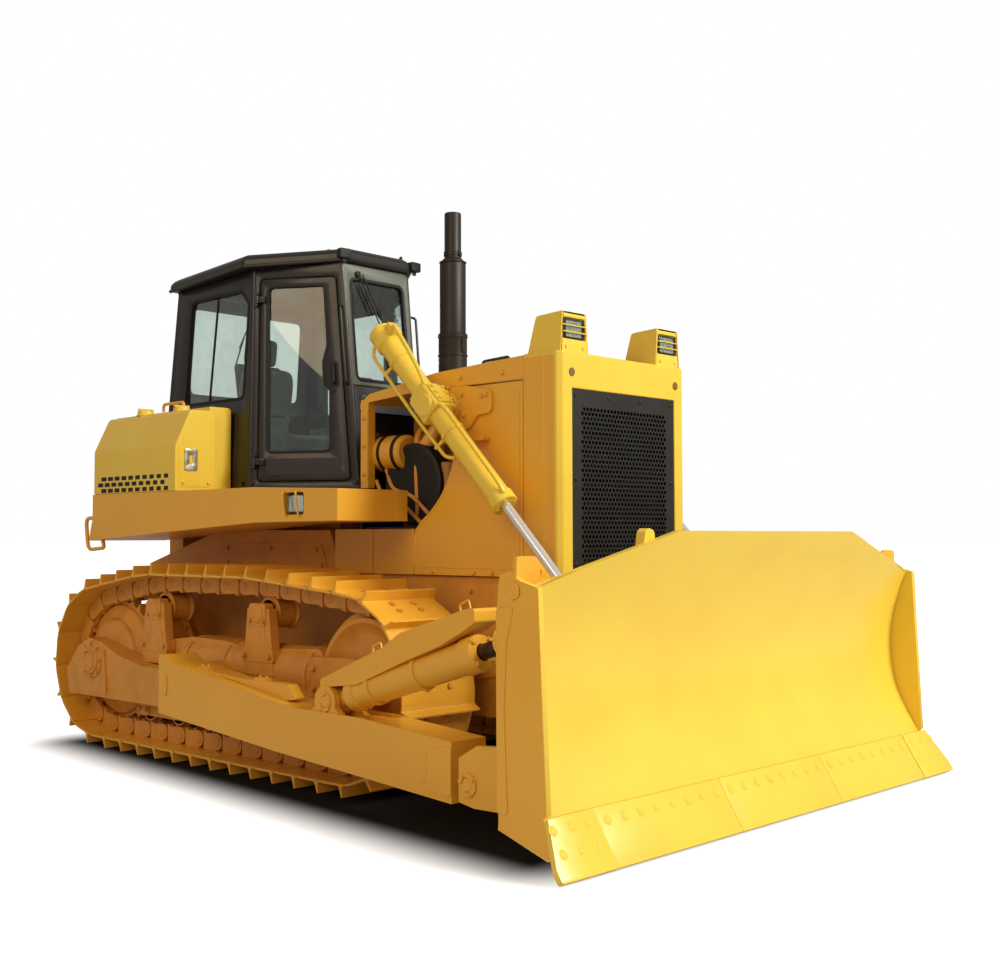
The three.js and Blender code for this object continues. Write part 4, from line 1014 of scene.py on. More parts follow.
def lift_yoke_cap(bm):
    frame_matrix = lift_frame()
    outward = frame_matrix.to_3x3() @ Vector((0, 1, 0))
    across, along = Vector(OUT), Vector(LIFT_WAY)
    turn = Matrix((across, along, across.cross(along))).transposed().to_4x4()
    face = Matrix.Translation(lift_point(-15)) @ turn
    sign = 1 if face.to_3x3() @ Vector((0, 0, 1)) @ outward > 0 else -1
    near, far = sorted((sign * 84, sign * 96))
    sheet_on(bm, [tile(-62, 62, -74, 74, 16, 3)], face, near, far, 2)
    for a in (-44, 44):
        for b in (-52, 0, 52):
            bolt(bm, face @ Vector((a, b, sign * 95)), face.to_3x3() @ Vector((0, 0, sign)), 20)


def lift_pipes(bm):
    size = bpy.context.scene.dozer_sizes.pipe / MM / 2
    bent_bar(bm, [lift_point(-LIFT_HEAD + 100, 30, 76), lift_point(-LIFT_HEAD + 96, 34, 132),
                  lift_point(-LIFT_HEAD + 250, 60, 138), lift_point(-230, 70, 118),
                  lift_point(-96, 60, 78)], size, 90)
    bent_bar(bm, [lift_point(70, 60, 80), lift_point(130, 60, 96), lift_point(LIFT_GLAND - 110, 60, 92),
                  lift_point(LIFT_GLAND - 36, 40, 66)], size, 50)
    bent_bar(bm, [lift_point(-LIFT_HEAD + 60, 40, -70), lift_point(-LIFT_HEAD + 110, 56, -112),
                  lift_point(-60, 56, -116), lift_point(330, 56, -104), lift_point(380, 40, -66)],
             size * 0.8, 60)
    for distance in (-430, 220):
        turned(bm, [(0, 70), (0, 75), (30, 75), (30, 70)], lift_point(distance), LIFT_WAY, 36)
        bent_bar(bm, [lift_point(distance + 15, 40, -60), lift_point(distance + 15, 56, -128)], 11, 4, 10)
    port = tile(-34, 34, 70, 112, 10, 3)
    sheet_on(bm, [port], lift_frame(), -LIFT_HEAD + 40, -LIFT_HEAD + 130, 2)


def lift_rod(bm):
    rod(bm, lift_point(LIFT_GLAND - 440), lift_point(LIFT_EYE - 50), 29, 32)


def lift_rod_eye(bm):
    eye = LIFT_TOP + LIFT_RUN * LIFT_EYE
    sheet_on(bm, [arc(eye, 55, 0, 350, 35), arc(eye, 36, 0, 350, 35)], FACING_X, LIFT_X - 35, LIFT_X + 35, 3)
    turned(bm, [(0, 30), (24, 40), (60, 42)], lift_point(LIFT_EYE - 108), LIFT_WAY, 28)


def lift_carrier(bm):
    """The yoke's curved carrier on the hood, and the bearing cap."""
    inner = 592
    outline = [(-3330, 2330), (-3120, 2372), (-2960, 2372), (-2860, 2300), (-2850, 2190), (-2905, 2110),
               (-3030, 2085), (-3150, 2120), (-3210, 2190), (-3330, 2200)]
    plate(bm, rounded(outline, 50, 5), "x", inner - 4, inner + 22)
    turned(bm, [(0, 92), (36, 90), (48, 84), (50, 52)], (inner + 16, *LIFT_TOP), OUT, 40)
    bolt_circle(bm, (inner + 21, *LIFT_TOP), OUT, 124, 6, 24, 0.4)
    shelf = rounded([(-3300, 2060), (-3180, 2066), (-3060, 2040), (-3060, 2022), (-3190, 2040),
                     (-3300, 2036)], 8, 2)
    plate(bm, shelf, "x", inner - 4, inner + 60)
    for y in (-3290, -3250):
        bolt(bm, (inner + 21, y, 2300 - (y + 3250) * 0.2), OUT, 26)


def build_lift_cylinders():
    pair(lift_barrel, "blade", "lift_cylinder_{side}", stands_for="lift_barrel", edge=1.5)
    pair(lift_yoke_cap, "blade", "lift_cylinder_{side}")
    pair(lift_pipes, "blade", "lift_cylinder_{side}")
    pair(lift_rod, "chrome", "lift_piston_{side}", stands_for="lift_rod")
    pair(lift_rod_eye, "body", "lift_piston_{side}")
    pair(lift_carrier, "body", edge=3)


# ---------------------------------------------------------------- blade

EDGE_FOOT = Vector((-4946, 17))
EDGE_TOP = Vector((-4793, 262))
EDGE_RUN = (EDGE_TOP - EDGE_FOOT).normalized()
EDGE_LENGTH = (EDGE_TOP - EDGE_FOOT).length
EDGE_HALF = high("cutting_edge", 0)
BLADE_HALF = 1783
EDGE_PLANE = plane_at((0, EDGE_FOOT.x, EDGE_FOOT.y), OUT, (0, EDGE_RUN.x, EDGE_RUN.y))


FACE_CURVE = [(-4766, 252), (-4672, 420), (-4612, 570), (-4588, 740), (-4594, 900), (-4630, 1060),
              (-4700, 1250), (-4827, 1504)]


def blade_face(bm):
    """The smooth rolled face plate between the end plates, up to the crest."""
    line = [Vector((p[1], p[2])) for p in smooth_path([(0, y, z) for y, z in FACE_CURVE], 6)]
    near, far = [], []
    for k, here in enumerate(line):
        run = (line[min(k + 1, len(line) - 1)] - line[max(k - 1, 0)]).normalized()
        near.append(tuple(here + Vector((-run.y, run.x)) * 4))
        far.append(tuple(here + Vector((-run.y, run.x)) * 0.5))
    for vert in plate(bm, near + far[::-1], "x", -1, 1):
        vert.co.x *= min(BLADE_HALF - 33, BLADE_HALF - 3 - max(0.0, vert.co.z - 1251) / 253 * 942)


def cutting_edges(bm):
    inner = EDGE_HALF - 386
    third = inner * 2 / 3
    sign = -1 if (EDGE_PLANE.to_3x3() @ Vector((0, 0, 1))).y > 0 else 1
    for k in range(3):
        a0 = -inner + k * third
        outline = rectangle(a0 + 1.5, a0 + third - 1.5, 4, EDGE_LENGTH - 2)
        sheet_on(bm, [outline], EDGE_PLANE, *sorted((sign * -1, sign * -26)), 1.5)
        count = 8
        for n in range(count):
            a = a0 + third * (n + 0.5) / count
            place = EDGE_PLANE @ Vector((a, EDGE_LENGTH - 66, 0))
            normal = EDGE_PLANE.to_3x3() @ Vector((0, 0, sign))
            turned(bm, [(-3, 27), (1.5, 26), (2.2, 19), (5, 16), (5, 0)], place, normal, 16)


def end_bits(bm):
    sign = -1 if (EDGE_PLANE.to_3x3() @ Vector((0, 0, 1))).y > 0 else 1
    inner = EDGE_HALF - 386
    outline = [(inner + 2, 3), (EDGE_HALF - 1, 3), (EDGE_HALF - 1, 66), (BLADE_HALF + 14, EDGE_LENGTH - 40),
               (BLADE_HALF + 6, EDGE_LENGTH - 3), (inner + 2, EDGE_LENGTH - 3)]
    sheet_on(bm, [rounded(outline, [3, 16, 14, 20, 14, 6], 3)], EDGE_PLANE, *sorted((sign * 3, sign * -27)),
             2)
    for a in (inner + 70, inner + 190, inner + 310):
        for b in (EDGE_LENGTH - 60, EDGE_LENGTH - 168):
            place = EDGE_PLANE @ Vector((a, b, sign * 2))
            normal = EDGE_PLANE.to_3x3() @ Vector((0, 0, sign))
            turned(bm, [(-2, 27), (2, 26), (2.6, 19), (5.5, 16), (5.5, 0)], place, normal, 18)


def blade_fittings(bm):
    wear = rounded([(-4493, 1152), (-4496, 240), (-4560, 240), (-4540, 700), (-4556, 1000), (-4600, 1170)],
                   20, 3)
    plate(bm, wear, "x", BLADE_HALF - 4, BLADE_HALF + 8)
    turned(bm, [(0, 38), (5, 35), (6, 24), (3, 22), (3, 0)], (BLADE_HALF + 6, -4600, 1233), OUT, 28)
    corner = rounded([(1782, 1200), (1780, 1388), (1650, 1388), (1490, 1236), (1600, 1200)],
                     [8, 30, 40, 30, 8])
    plate(bm, corner, "y", -4612, -4588)
    for x in (620, 880, 1250, 1610):
        rib = rounded([(-4498, 1225), (-4570, 1330), (-4620, 1330), (-4600, 1225)], 6, 2)
        plate(bm, rib, "x", x - 9, x + 9)


def blade_end_painted_shade(bm):
    """The flat outer side of the blade's end plate, laid in the body's orange over the blade's lit yellow:
    painted shade on the side face.
    """
    outline = [(-4494, 1150), (-4502, 201), (-4499, 170), (-4776, 86), (-4866, 84), (-4769, 250),
               (-4785, 270), (-4744, 1246), (-4637, 1276), (-4569, 1313), (-4513, 1297)]
    plate(bm, rounded(outline, 8, 3), "x", BLADE_HALF - 2, BLADE_HALF + 2)


def blade_forks(bm):
    """The plates of the blade's forks, on both sides of each arm's tongue."""
    y, z = FRONT_PIN
    outline = [(-4496, 178), (-4496, 492), (y - 61, 472), (y + 64, 401), (y + 64, 188), (y - 41, 170)]
    for middle in (ARM_X - 97, ARM_X + 97):
        plate(bm, rounded(outline, 10, 2), "x", middle - 18, middle + 18)


def lifting_lug(bm):
    outline = rounded([(-1063, 1380), (-1040, 1500), (-1014, 1516), (-972, 1506), (-948, 1380)],
                      [6, 20, 16, 24, 6])
    plate(bm, outline, "y", -4766, -4714)


def blade_pins(bm):
    pin_keeper(bm, ARM_X + 113, *FRONT_PIN, 34, -30)
    pin_keeper(bm, ARM_X + 106, STRUT_FRONT.x, STRUT_FRONT.y, 30, 60)
    rod(bm, (ARM_X - 108, STRUT_FRONT.x, STRUT_FRONT.y), (ARM_X + 108, STRUT_FRONT.x, STRUT_FRONT.y), 30, 28)
    eye = LIFT_TOP + LIFT_RUN * LIFT_EYE
    rod(bm, (LIFT_X - 146, eye.x, eye.y), (LIFT_X + 146, eye.x, eye.y), 26, 28)
    pin_keeper(bm, LIFT_X + 140, eye.x, eye.y, 27, 100)


def build_blade():
    from_cad("moldboard", "moldboard", "blade", "blade")
    drawn(blade_face, "blade", "blade")
    drawn(cutting_edges, "blade", "blade", "edge_paint", ("cutting_edge",))
    pair(end_bits, "blade", "blade", "edge_paint")
    pair(blade_fittings, "body", "blade", edge=2)
    pair(blade_end_painted_shade, "body", "blade", edge=1)
    pair(blade_forks, "body", "blade", edge=2)
    drawn(lifting_lug, "blade", "blade")
    pair(blade_pins, "body", "blade")


# ---------------------------------------------------------------- hull and engine bay

HULL_HALF = 560
HOOD_HALF = 590
GUARD_FRONT = -3836
GRILLE_HALF = 480


def hull_covers(bm):
    side = rounded([(-600, 1440), (-1700, 1436), (-1780, 1260), (-600, 1260)], 30, 3)
    plate(bm, side, "x", HULL_HALF - 4, HULL_HALF + 8)
    for y, z in ((-640, 1402), (-1150, 1400), (-1660, 1398), (-640, 1296), (-1180, 1296), (-1720, 1296)):
        bolt(bm, (HULL_HALF + 7, y, z), OUT, 26)
    nose = rounded([(-2700, 1205), (-3500, 1205), (-3500, 700), (-2700, 560)], 40, 3)
    plate(bm, nose, "x", HULL_HALF - 4, HULL_HALF + 10)
    for y in (-2760, -3120, -3440):
        bolt(bm, (HULL_HALF + 9, y, 1160), OUT, 28)
        bolt(bm, (HULL_HALF + 9, y, 780), OUT, 28)
    turned(bm, [(0, 362), (14, 356), (26, 340), (26, 300)], (640, *SPROCKET), OUT, 56)
    bolt_circle(bm, (664, *SPROCKET), OUT, 342, 18, 24)


def drawbar_pin(bm):
    rear = rounded([(-430, 720), (430, 720), (430, 1230), (-430, 1230)], 40)
    plate(bm, rear, "y", 417, 419)
    for x in (-380, 0, 380):
        for z in (760, 1190):
            turned(bm, [(0, 15), (0.8, 15), (1.6, 11), (1.6, 0)], (x, 419, z), BACK, 6)
    rod(bm, (0, 540, 455), (0, 540, 660), 27, 28)
    turned(bm, [(0, 42), (10, 42), (14, 36), (14, 0)], (0, 540, 620), UP, 28)
    turned(bm, [(0, 27), (0, 34), (22, 34), (26, 28), (26, 0)], (0, 540, 474), (0, 0, -1), 28)


def belly_guards(bm):
    for y0, y1 in ((-3200, -2300), (-2000, -1100), (-1000, 100)):
        outline = tile(-500, 500, y0, y1, 40, 3)
        plate(bm, outline, "z", 422, 432)
        for x in (-440, 440):
            for y in (y0 + 60, (y0 + y1) / 2, y1 - 60):
                bolt(bm, (x, y, 422), (0, 0, -1), 30)


def air_can(bm):
    turned(bm, [(0, 40), (0, 96), (16, 112), (150, 116), (282, 112), (304, 92), (316, 60), (316, 0)],
           (438, -2440, 2015), BACK, 44)
    bent_bar(bm, [(438, -2430, 2015), (438, -2560, 2020), (420, -2640, 2120), (330, -2660, 2240)], 46, 90, 20)


def air_can_bands(bm):
    for y in (-2400, -2270, -2170):
        turned(bm, [(0, 112), (0, 121), (24, 121), (24, 112)], (438, y, 2015), BACK, 44)
    turned(bm, [(0, 200), (6, 252), (50, 262), (110, 256), (120, 236), (104, 190), (104, 0)],
           (380, -2520, 1810), OUT, 60)
    block(bm, 540, 580, -2296, -2276, 2116, 2138)


def bay_pipes(bm):
    bent_bar(bm, [(470, -2560, 1560), (470, -2540, 1900), (430, -2500, 2120), (350, -2480, 2180)], 21, 80, 14)
    bent_bar(bm, [(520, -2640, 1560), (530, -2480, 1680), (530, -2300, 1700), (530, -2220, 1840)], 13, 60)
    bent_bar(bm, [(500, -2680, 1620), (500, -2520, 1740), (500, -2340, 1780), (480, -2240, 1960)], 13, 60)
    bent_bar(bm, [(350, -2960, 2200), (470, -2900, 2300), (470, -2600, 2310), (330, -2440, 2270)], 40, 90, 18)


def fan_shroud(bm):
    turned(bm, [(0, 330), (4, 352), (60, 356), (130, 330), (136, 318), (120, 300), (0, 300)],
           (0, -3470, 1720), BACK, 64)
    for k in range(8):
        a = radians(45 * k)
        blade = [(cos(a) * 60, sin(a) * 60), (cos(a + 0.1) * 290, sin(a + 0.1) * 290),
                 (cos(a + 0.5) * 290, sin(a + 0.5) * 290), (cos(a + 0.5) * 60, sin(a + 0.5) * 60)]
        plate(bm, [(x, 1720 + z) for x, z in blade], "y", -3510, -3500)
    turned(bm, [(0, 80), (40, 76), (40, 0)], (0, -3520, 1720), BACK, 32)


def bay_wall(bm):
    # Painted shade: the wall at the rear of the engine bay and a plate on the bay's floor are drawn in the
    # near-black cab enamel for the dark inside the bay.
    plate(bm, tile(-575, 575, 1300, 2290, 40, 3), "y", -2128, -2116)
    block(bm, -545, 545, -2640, -2130, 1530, 1542)


def engine_fittings(bm):
    for k in range(6):
        y = -3330 + k * 165
        for side in (-1, 1):
            block(bm, side * 236 - 12, side * 236 + 12, y - 60, y + 60, 2000, 2180)
            turned(bm, [(0, 30), (40, 30), (46, 22), (46, 0)], (side * 330, y, 1850), (side, 0, 0), 20)
        block(bm, -180, 180, y - 62, y + 62, 2252, 2300)
        bolt(bm, (0, y, 2300), UP, 24)
    block(bm, 328, 420, -3300, -2500, 1480, 1660)
    turned(bm, [(0, 66), (180, 66), (200, 56), (200, 0)], (400, -2960, 1740), UP, 32)
    turned(bm, [(0, 66), (180, 66), (200, 56), (200, 0)], (-400, -2760, 1740), UP, 32)


def build_hull():
    from_cad("main_frame", "main_frame", "casting", edge=9, steps=3, slot=BODY_SLOT)
    pair(hull_covers, "casting", edge=3, slot=BODY_SLOT)
    drawn(drawbar_pin, "casting", edge=1, slot=BODY_SLOT)
    drawn(belly_guards, "casting", edge=3, slot=BODY_SLOT)


def build_engine():
    from_cad("engine", "engine_block", "engine", edge=14, steps=4)
    drawn(engine_fittings, "engine", edge=5)
    pair(air_can, "body", slot="engine_paint", edge=2)
    pair(air_can_bands, "rubber", slot="engine_paint", edge=1)
    pair(bay_pipes, "casting", slot="engine_paint")
    drawn(fan_shroud, "rubber", slot="engine_paint", edge=2)
    drawn(bay_wall, "cab", slot="engine_paint", edge=4)


# ---------------------------------------------------------------- hood

def hood_side(bm):
    rear = [(-2643, 1246), (-2643, 1400), (-2655, 1500), (-2700, 1562), (-2790, 1628), (-2880, 1716),
            (-2944, 1812), (-2986, 1900), (-3008, 1990), (-3020, 2100), (-3020, 2366)]
    outline = rear + [(-3556, 2368), (-3556, 1246)]
    plate(bm, outline, "x", HOOD_HALF - 15, HOOD_HALF)


def hood_panel(bm):
    raised = rounded([(-3060, 2010), (-3068, 2290), (-3110, 2330), (-3500, 2334), (-3530, 2300),
                      (-3530, 1330), (-3480, 1290), (-2720, 1290), (-2690, 1330), (-2700, 1500),
                      (-2800, 1590), (-2950, 1720), (-3030, 1860)],
                     [30, 60, 30, 30, 30, 40, 40, 30, 30, 60, 60, 80, 60], 5)
    plate(bm, raised, "x", HOOD_HALF - 2, HOOD_HALF + 3)
    for y, z in ((-2804, 1262), (-3162, 1264), (-3309, 1265), (-3500, 1265)):
        bolt(bm, (HOOD_HALF - 1, y, z), OUT, 26)


def bay_edge(bm):
    """The rolled edge around the open engine bay."""
    path = [(-2650, 1300), (-2652, 1480), (-2700, 1556), (-2790, 1624), (-2880, 1712), (-2944, 1808),
            (-2986, 1898), (-3008, 1990), (-3018, 2100), (-3018, 2330)]
    pipe(bm, [(HOOD_HALF - 6, y, z) for y, z in path], 11, 12, 4)


def hood_top_trim(bm):
    seam = [(-3550, 2384), (-2700, 2384), (-2700, 2377), (-3550, 2377)]
    plate(bm, seam, "x", HOOD_HALF - 4, HOOD_HALF + 3)
    for y in (-3400, -3050, -2740):
        bolt(bm, (HOOD_HALF - 1, y, 2424), OUT, 22)
    for y in (-3450, -3000, -2600):
        z = 2514 - (y + 3560) * 0.0525 if y < -2828 else 2474 - (y + 2828) * 0.134
        bolt(bm, (480, y, z - 3), (0, 0.07, 1), 22)
    post = tile(-2204, -2140, 1830, 2290, 10, 2)
    plate(bm, post, "x", HOOD_HALF - 2, HOOD_HALF + 4)
    for z in (1880, 2060, 2240):
        bolt(bm, (HOOD_HALF + 3, -2172, z), OUT, 22)


def hood_handle(bm):
    bent_bar(bm, [(430, -3300, 2496), (430, -3300, 2545), (430, -3080, 2535), (430, -3080, 2484)], 9, 26)


def stack_collar(bm):
    turned(bm, [(0, 128), (4, 124), (22, 118), (30, 108), (30, 96)], (0, -2380, 2398), (0, 0.1, 1), 44)


def build_hood():
    from_cad("hood_top", "hood_top", "body", edge=9, steps=4)
    pair(hood_side, "body", stands_for="hood_side", edge=3)
    pair(hood_panel, "body", edge=4, steps=3)
    pair(bay_edge, "body")
    pair(hood_top_trim, "body", edge=2)
    pair(hood_handle, "cab", slot=BODY_SLOT)
    drawn(stack_collar, "body", edge=1)


# ---------------------------------------------------------------- radiator guard, grille, lamps

def radiator_grille(bm):
    sizes = bpy.context.scene.dozer_sizes
    pitch = sizes.hole_pitch / MM
    radius = sizes.hole / MM / 2
    half, bottom, top = GRILLE_HALF - 2, low("radiator_grille", 2) + 2, high("radiator_grille", 2) - 2
    outlines = [tile(-half, half, bottom, top, 12, 3)]
    rows = int((top - bottom - 160) / (pitch * 0.866))
    for row in range(rows):
        z = bottom + 82 + row * pitch * 0.866
        count = int((2 * half - 150) / pitch)
        for k in range(count - row % 2):
            x = (k - (count - 1 - row % 2) / 2) * pitch
            outlines.append(arc((x, z), radius, 0, 324, 9)[::-1])
    facing = plane_at((0, low("radiator_grille", 1), 0), OUT, UP)
    sheet_on(bm, outlines, facing, -11, -1, 0)


def grille_screws(bm):
    y = low("radiator_grille", 1) + 1
    for x in (-448, -150, 150, 448):
        for z in (835, 2275):
            turned(bm, [(0, 13), (3, 12), (6, 8), (6, 0)], (x, y, z), AHEAD, 16)
    for x in (-448, 448):
        for z in (1320, 1800):
            turned(bm, [(0, 13), (3, 12), (6, 8), (6, 0)], (x, y, z), AHEAD, 16)


def radiator_core(bm):
    block(bm, -440, 440, -3780, -3730, 840, 2270)
    for k in range(29):
        x = -420 + k * 30
        block(bm, x - 2, x + 2, -3788, -3778, 850, 2260)


def guard_trim(bm):
    for x in (-300, 300):
        turned(bm, [(-2, 15), (1, 14), (2, 10), (2, 0)], (x, GUARD_FRONT, 748), AHEAD, 18)


def guard_plugs(bm):
    for x in (-488, 488):
        turned(bm, [(0, 25), (4, 23), (5, 14), (3, 12), (3, 0)], (x, GUARD_FRONT - 1, 2401), AHEAD, 24)


def guard_side_painted_shade(bm):
    # Painted shade: the guard is in the lit yellow, and these thin plates lay the body's orange on its side
    # faces as their shade.
    for y0, y1 in ((-3712, -3562), (-3792, -3718)):
        plate(bm, tile(y0, y1, 712, 2494, 8, 2), "x", HOOD_HALF - 3, HOOD_HALF + 2)


LAMP_X = 440
LAMP_HALF = 118
LAMP_FRONT = -3816
LAMP_TOP = 2745


def lamp_box(bm):
    x0, x1 = LAMP_X - LAMP_HALF, LAMP_X + LAMP_HALF
    front = rounded([(x0, 2498), (x1, 2498), (x1 - 18, LAMP_TOP), (x0 + 18, LAMP_TOP)], [8, 8, 26, 26])
    hole = rounded([(x0 + 14, 2590), (x1 - 14, 2590), (x1 - 26, LAMP_TOP - 32), (x0 + 26, LAMP_TOP - 32)],
                   12, 3)
    facing = plane_at((0, LAMP_FRONT, 0), OUT, UP)
    sheet_on(bm, [front, hole[::-1]], facing, -12, 0, 2)
    for x, lean in ((x0, 18), (x1, -18)):
        wall = [(LAMP_FRONT, 2498), (LAMP_FRONT + 252, 2498), (LAMP_FRONT + 197, LAMP_TOP - 12),
                (LAMP_FRONT, LAMP_TOP)]
        made = plate(bm, rounded(wall, [4, 10, 30, 6], 3), "x", x - 5 + (0 if lean > 0 else -4), x + 5)
        for vert in made:
            vert.co.x += lean * (vert.co.z - 2498) / (LAMP_TOP - 2498)
    top = rectangle(x0 + 18, x1 - 18, LAMP_FRONT, LAMP_FRONT + 198)
    made = plate(bm, top, "z", LAMP_TOP - 12, LAMP_TOP)
    for vert in made:
        vert.co.z -= 12 * (vert.co.y - LAMP_FRONT) / 198
    rear = [(x0, LAMP_FRONT + 244, 2498), (x1, LAMP_FRONT + 244, 2498),
            (x1 - 18, LAMP_FRONT + 192, LAMP_TOP - 16), (x0 + 18, LAMP_FRONT + 192, LAMP_TOP - 16)]
    near = [bm.verts.new(p) for p in rear]
    far = [bm.verts.new((p[0], p[1] + 8, p[2])) for p in rear]
    bm.faces.new(near[::-1])
    bm.faces.new(far)
    for k in range(4):
        bm.faces.new((near[k], near[(k + 1) % 4], far[(k + 1) % 4], far[k]))
    block(bm, x0 + 6, x1 - 6, LAMP_FRONT + 14, LAMP_FRONT + 242, 2500, 2508)
    for x in (x0 + 44, x1 - 44):
        bolt(bm, (x, LAMP_FRONT, 2546), AHEAD, 16, False)


def lamp_bars(bm):
    for z in (2630, 2668):
        rod(bm, (LAMP_X - 102, LAMP_FRONT - 2, z), (LAMP_X + 102, LAMP_FRONT - 2, z), 4, 12)


def lamp_body(bm):
    outline = tile(LAMP_X - 98, LAMP_X + 98, 2594, 2706, 14)
    plate(bm, outline, "y", LAMP_FRONT + 12, LAMP_FRONT + 15)


def lamp_mirror(bm):
    outline = tile(LAMP_X - 68, LAMP_X + 68, 2604, 2696, 12)
    plate(bm, outline, "y", LAMP_FRONT + 8, LAMP_FRONT + 12)


def lamp_lens(bm):
    outline = tile(LAMP_X - 72, LAMP_X + 72, 2600, 2700, 14)
    plate(bm, outline, "y", LAMP_FRONT + 3, LAMP_FRONT + 6)


def build_nose():
    from_cad("radiator_guard", "radiator_guard", "blade", edge=15, steps=5, angle=22)
    drawn(radiator_grille, "grille", stands_for=("radiator_grille",))
    drawn(grille_screws, "grille")
    drawn(radiator_core, "core")
    drawn(guard_trim, "blade", edge=3, steps=3)
    drawn(guard_plugs, "plug", edge=1)
    pair(guard_side_painted_shade, "body", edge=3)


def build_headlamps():
    pair(lamp_box, "blade", edge=1)
    pair(lamp_bars, "blade")
    pair(lamp_body, "rubber", edge=2)
    pair(lamp_mirror, "lamp", edge=1)
    pair(lamp_lens, "glass", edge=1)


# ---------------------------------------------------------------- exhaust

def exhaust_stack(bm):
    foot = 2252
    profile = [(0, 0), (0, 95), (150, 97), (205, 104), (232, 104), (238, 95), (388, 95), (552, 95), (560, 98),
               (572, 98), (578, 87), (1040, 87), (1062, 80), (1084, 58), (1090, 56), (1380, 56), (1388, 53),
               (1388, 50), (1100, 50), (1100, 0)]
    turned(bm, profile, (0, -2380, foot), UP, 56)


def exhaust_seams(bm):
    for z in (2676, 2800, 3300):
        radius = 98 if z < 2810 else 89
        turned(bm, [(0, radius - 3), (2, radius + 2), (10, radius + 2), (12, radius - 3)], (0, -2380, z),
               UP, 48)
    block(bm, -10, 10, -2484, -2470, 2700, 2790)
    turned(bm, [(0, 56), (0, 61), (28, 61), (28, 56)], (0, -2380, 3350), UP, 40)
    block(bm, -9, 9, -2452, -2436, 3352, 3376)


def build_exhaust():
    drawn(exhaust_stack, "exhaust", stands_for=("exhaust_stack",))
    drawn(exhaust_seams, "exhaust", edge=1)


# ---------------------------------------------------------------- platform and tanks

FENDER = 1200


def fender_trim(bm):
    lamp_hole = tile(-2330, -2140, 1612, 1748, 22)
    outline = rounded([(-1850, 1776), (-2632, 1754), (-2632, 1588), (-1850, 1585)], 26)
    sheet_on(bm, [outline, lamp_hole[::-1]], FACING_X, FENDER - 4, FENDER - 0.5, 1)
    for y in (-1900, -2060, -2420, -2590):
        for z in (1612, 1736):
            turned(bm, [(-1, 12), (0, 12), (0.2, 9), (0.2, 0)], (FENDER - 0.4, y, z), OUT, 6)
    tread = tile(1000, 1180, -2600, -1900, 12, 2)
    made = plate(bm, tread, "z", 1776, 1783)
    for vert in made:
        vert.co.z += (vert.co.y + 1834) * 0.0344
    for k in range(9):
        y = -1960 - k * 72
        z = 1782 + (y + 1834) * 0.0344
        block(bm, 1020, 1160, y - 6, y + 6, z, z + 6)


def fender_lamp(bm):
    outline = tile(-2318, -2152, 1622, 1738, 18)
    plate(bm, outline, "x", FENDER - 66, FENDER - 28)


def fender_mirror(bm):
    outline = tile(-2308, -2162, 1632, 1728, 14)
    plate(bm, outline, "x", FENDER - 30, FENDER - 22)


def fender_lens(bm):
    outline = tile(-2312, -2158, 1628, 1732, 16)
    plate(bm, outline, "x", FENDER - 17, FENDER - 12)


def fender_guard(bm):
    for y in (-2300, -2170):
        bent_bar(bm, [(FENDER - 8, y, 1600), (FENDER + 16, y, 1606), (FENDER + 16, y + 30, 1750),
                      (FENDER - 8, y + 30, 1758)], 7, 16, 10)


def fender_loop(bm):
    bent_bar(bm, [(1150, 207, 1620), (1150, 339, 1623), (1150, 303, 1387), (1150, 73, 1403),
                  (1150, 94, 1460)], 14, 60, 14)


def bay_sill(bm):
    for y0, y1 in ((-2640, -2262), (-2256, -1880)):
        plate(bm, tile(y0, y1, 1246, 1528, 8, 2), "x", HULL_HALF - 2, HOOD_HALF)


def build_platform():
    from_cad("platform_deck", "platform_deck", "body", edge=10, steps=4)
    pair(fender_trim, "body")
    pair(fender_lamp, "rubber", edge=2)
    pair(fender_mirror, "lamp", edge=1)
    pair(fender_lens, "glass", edge=1)
    pair(fender_guard, "body")
    pair(fender_loop, "body")
    pair(bay_sill, "body", edge=2)


TANK_FRONT, TANK_REAR = low("side_tank_left", 1), high("side_tank_left", 1)


def side_tank(bm):
    outer = [(1200, 1791), (1200, 2100), (1080, 2350), (885, 2350), (885, 1791)]
    plate(bm, rounded(outer, [10, 70, 50, 10, 10], 6), "y", TANK_FRONT, TANK_REAR)
    inner = [(884, 1791), (884, 2388), (706, 2388), (706, 1791)]
    plate(bm, rounded(inner, [6, 14, 30, 10]), "y", TANK_FRONT + 66, TANK_REAR)


def tank_trim(bm):
    y = TANK_FRONT
    face = rounded([(1168, 1822), (1168, 2092), (1062, 2318), (916, 2318), (916, 1822)],
                   [20, 60, 40, 20, 20], 5)
    plate(bm, face, "y", y - 3, y + 4)
    top = tile(920, 1060, y + 60, TANK_REAR - 60, 20)
    plate(bm, top, "z", 2346, 2353)
    rear = rounded([(1160, 1830), (1160, 2090), (1060, 2310), (760, 2340), (760, 1830)], 30)
    plate(bm, rear, "y", TANK_REAR - 4, TANK_REAR + 3)
    for x in (940, 1140):
        bolt(bm, (x, y - 2, 1850), AHEAD, 20)
    for k, x in enumerate((980, 1010)):
        place_y = -660 + k * 420
        turned(bm, [(0, 66), (8, 64), (10, 58), (34, 56), (42, 46), (42, 0)], (x, place_y, 2352), UP, 36)
        block(bm, x - 60, x + 60, place_y - 9, place_y + 9, 2392, 2404)


def tank_latch(bm):
    outline = tile(1030, 1130, 1930, 2080, 14)
    slot = tile(1064, 1096, 1976, 2040, 12, 3)
    facing = plane_at((0, TANK_FRONT - 3, 0), OUT, UP)
    sheet_on(bm, [outline, slot[::-1]], facing, -1, 7, 1)


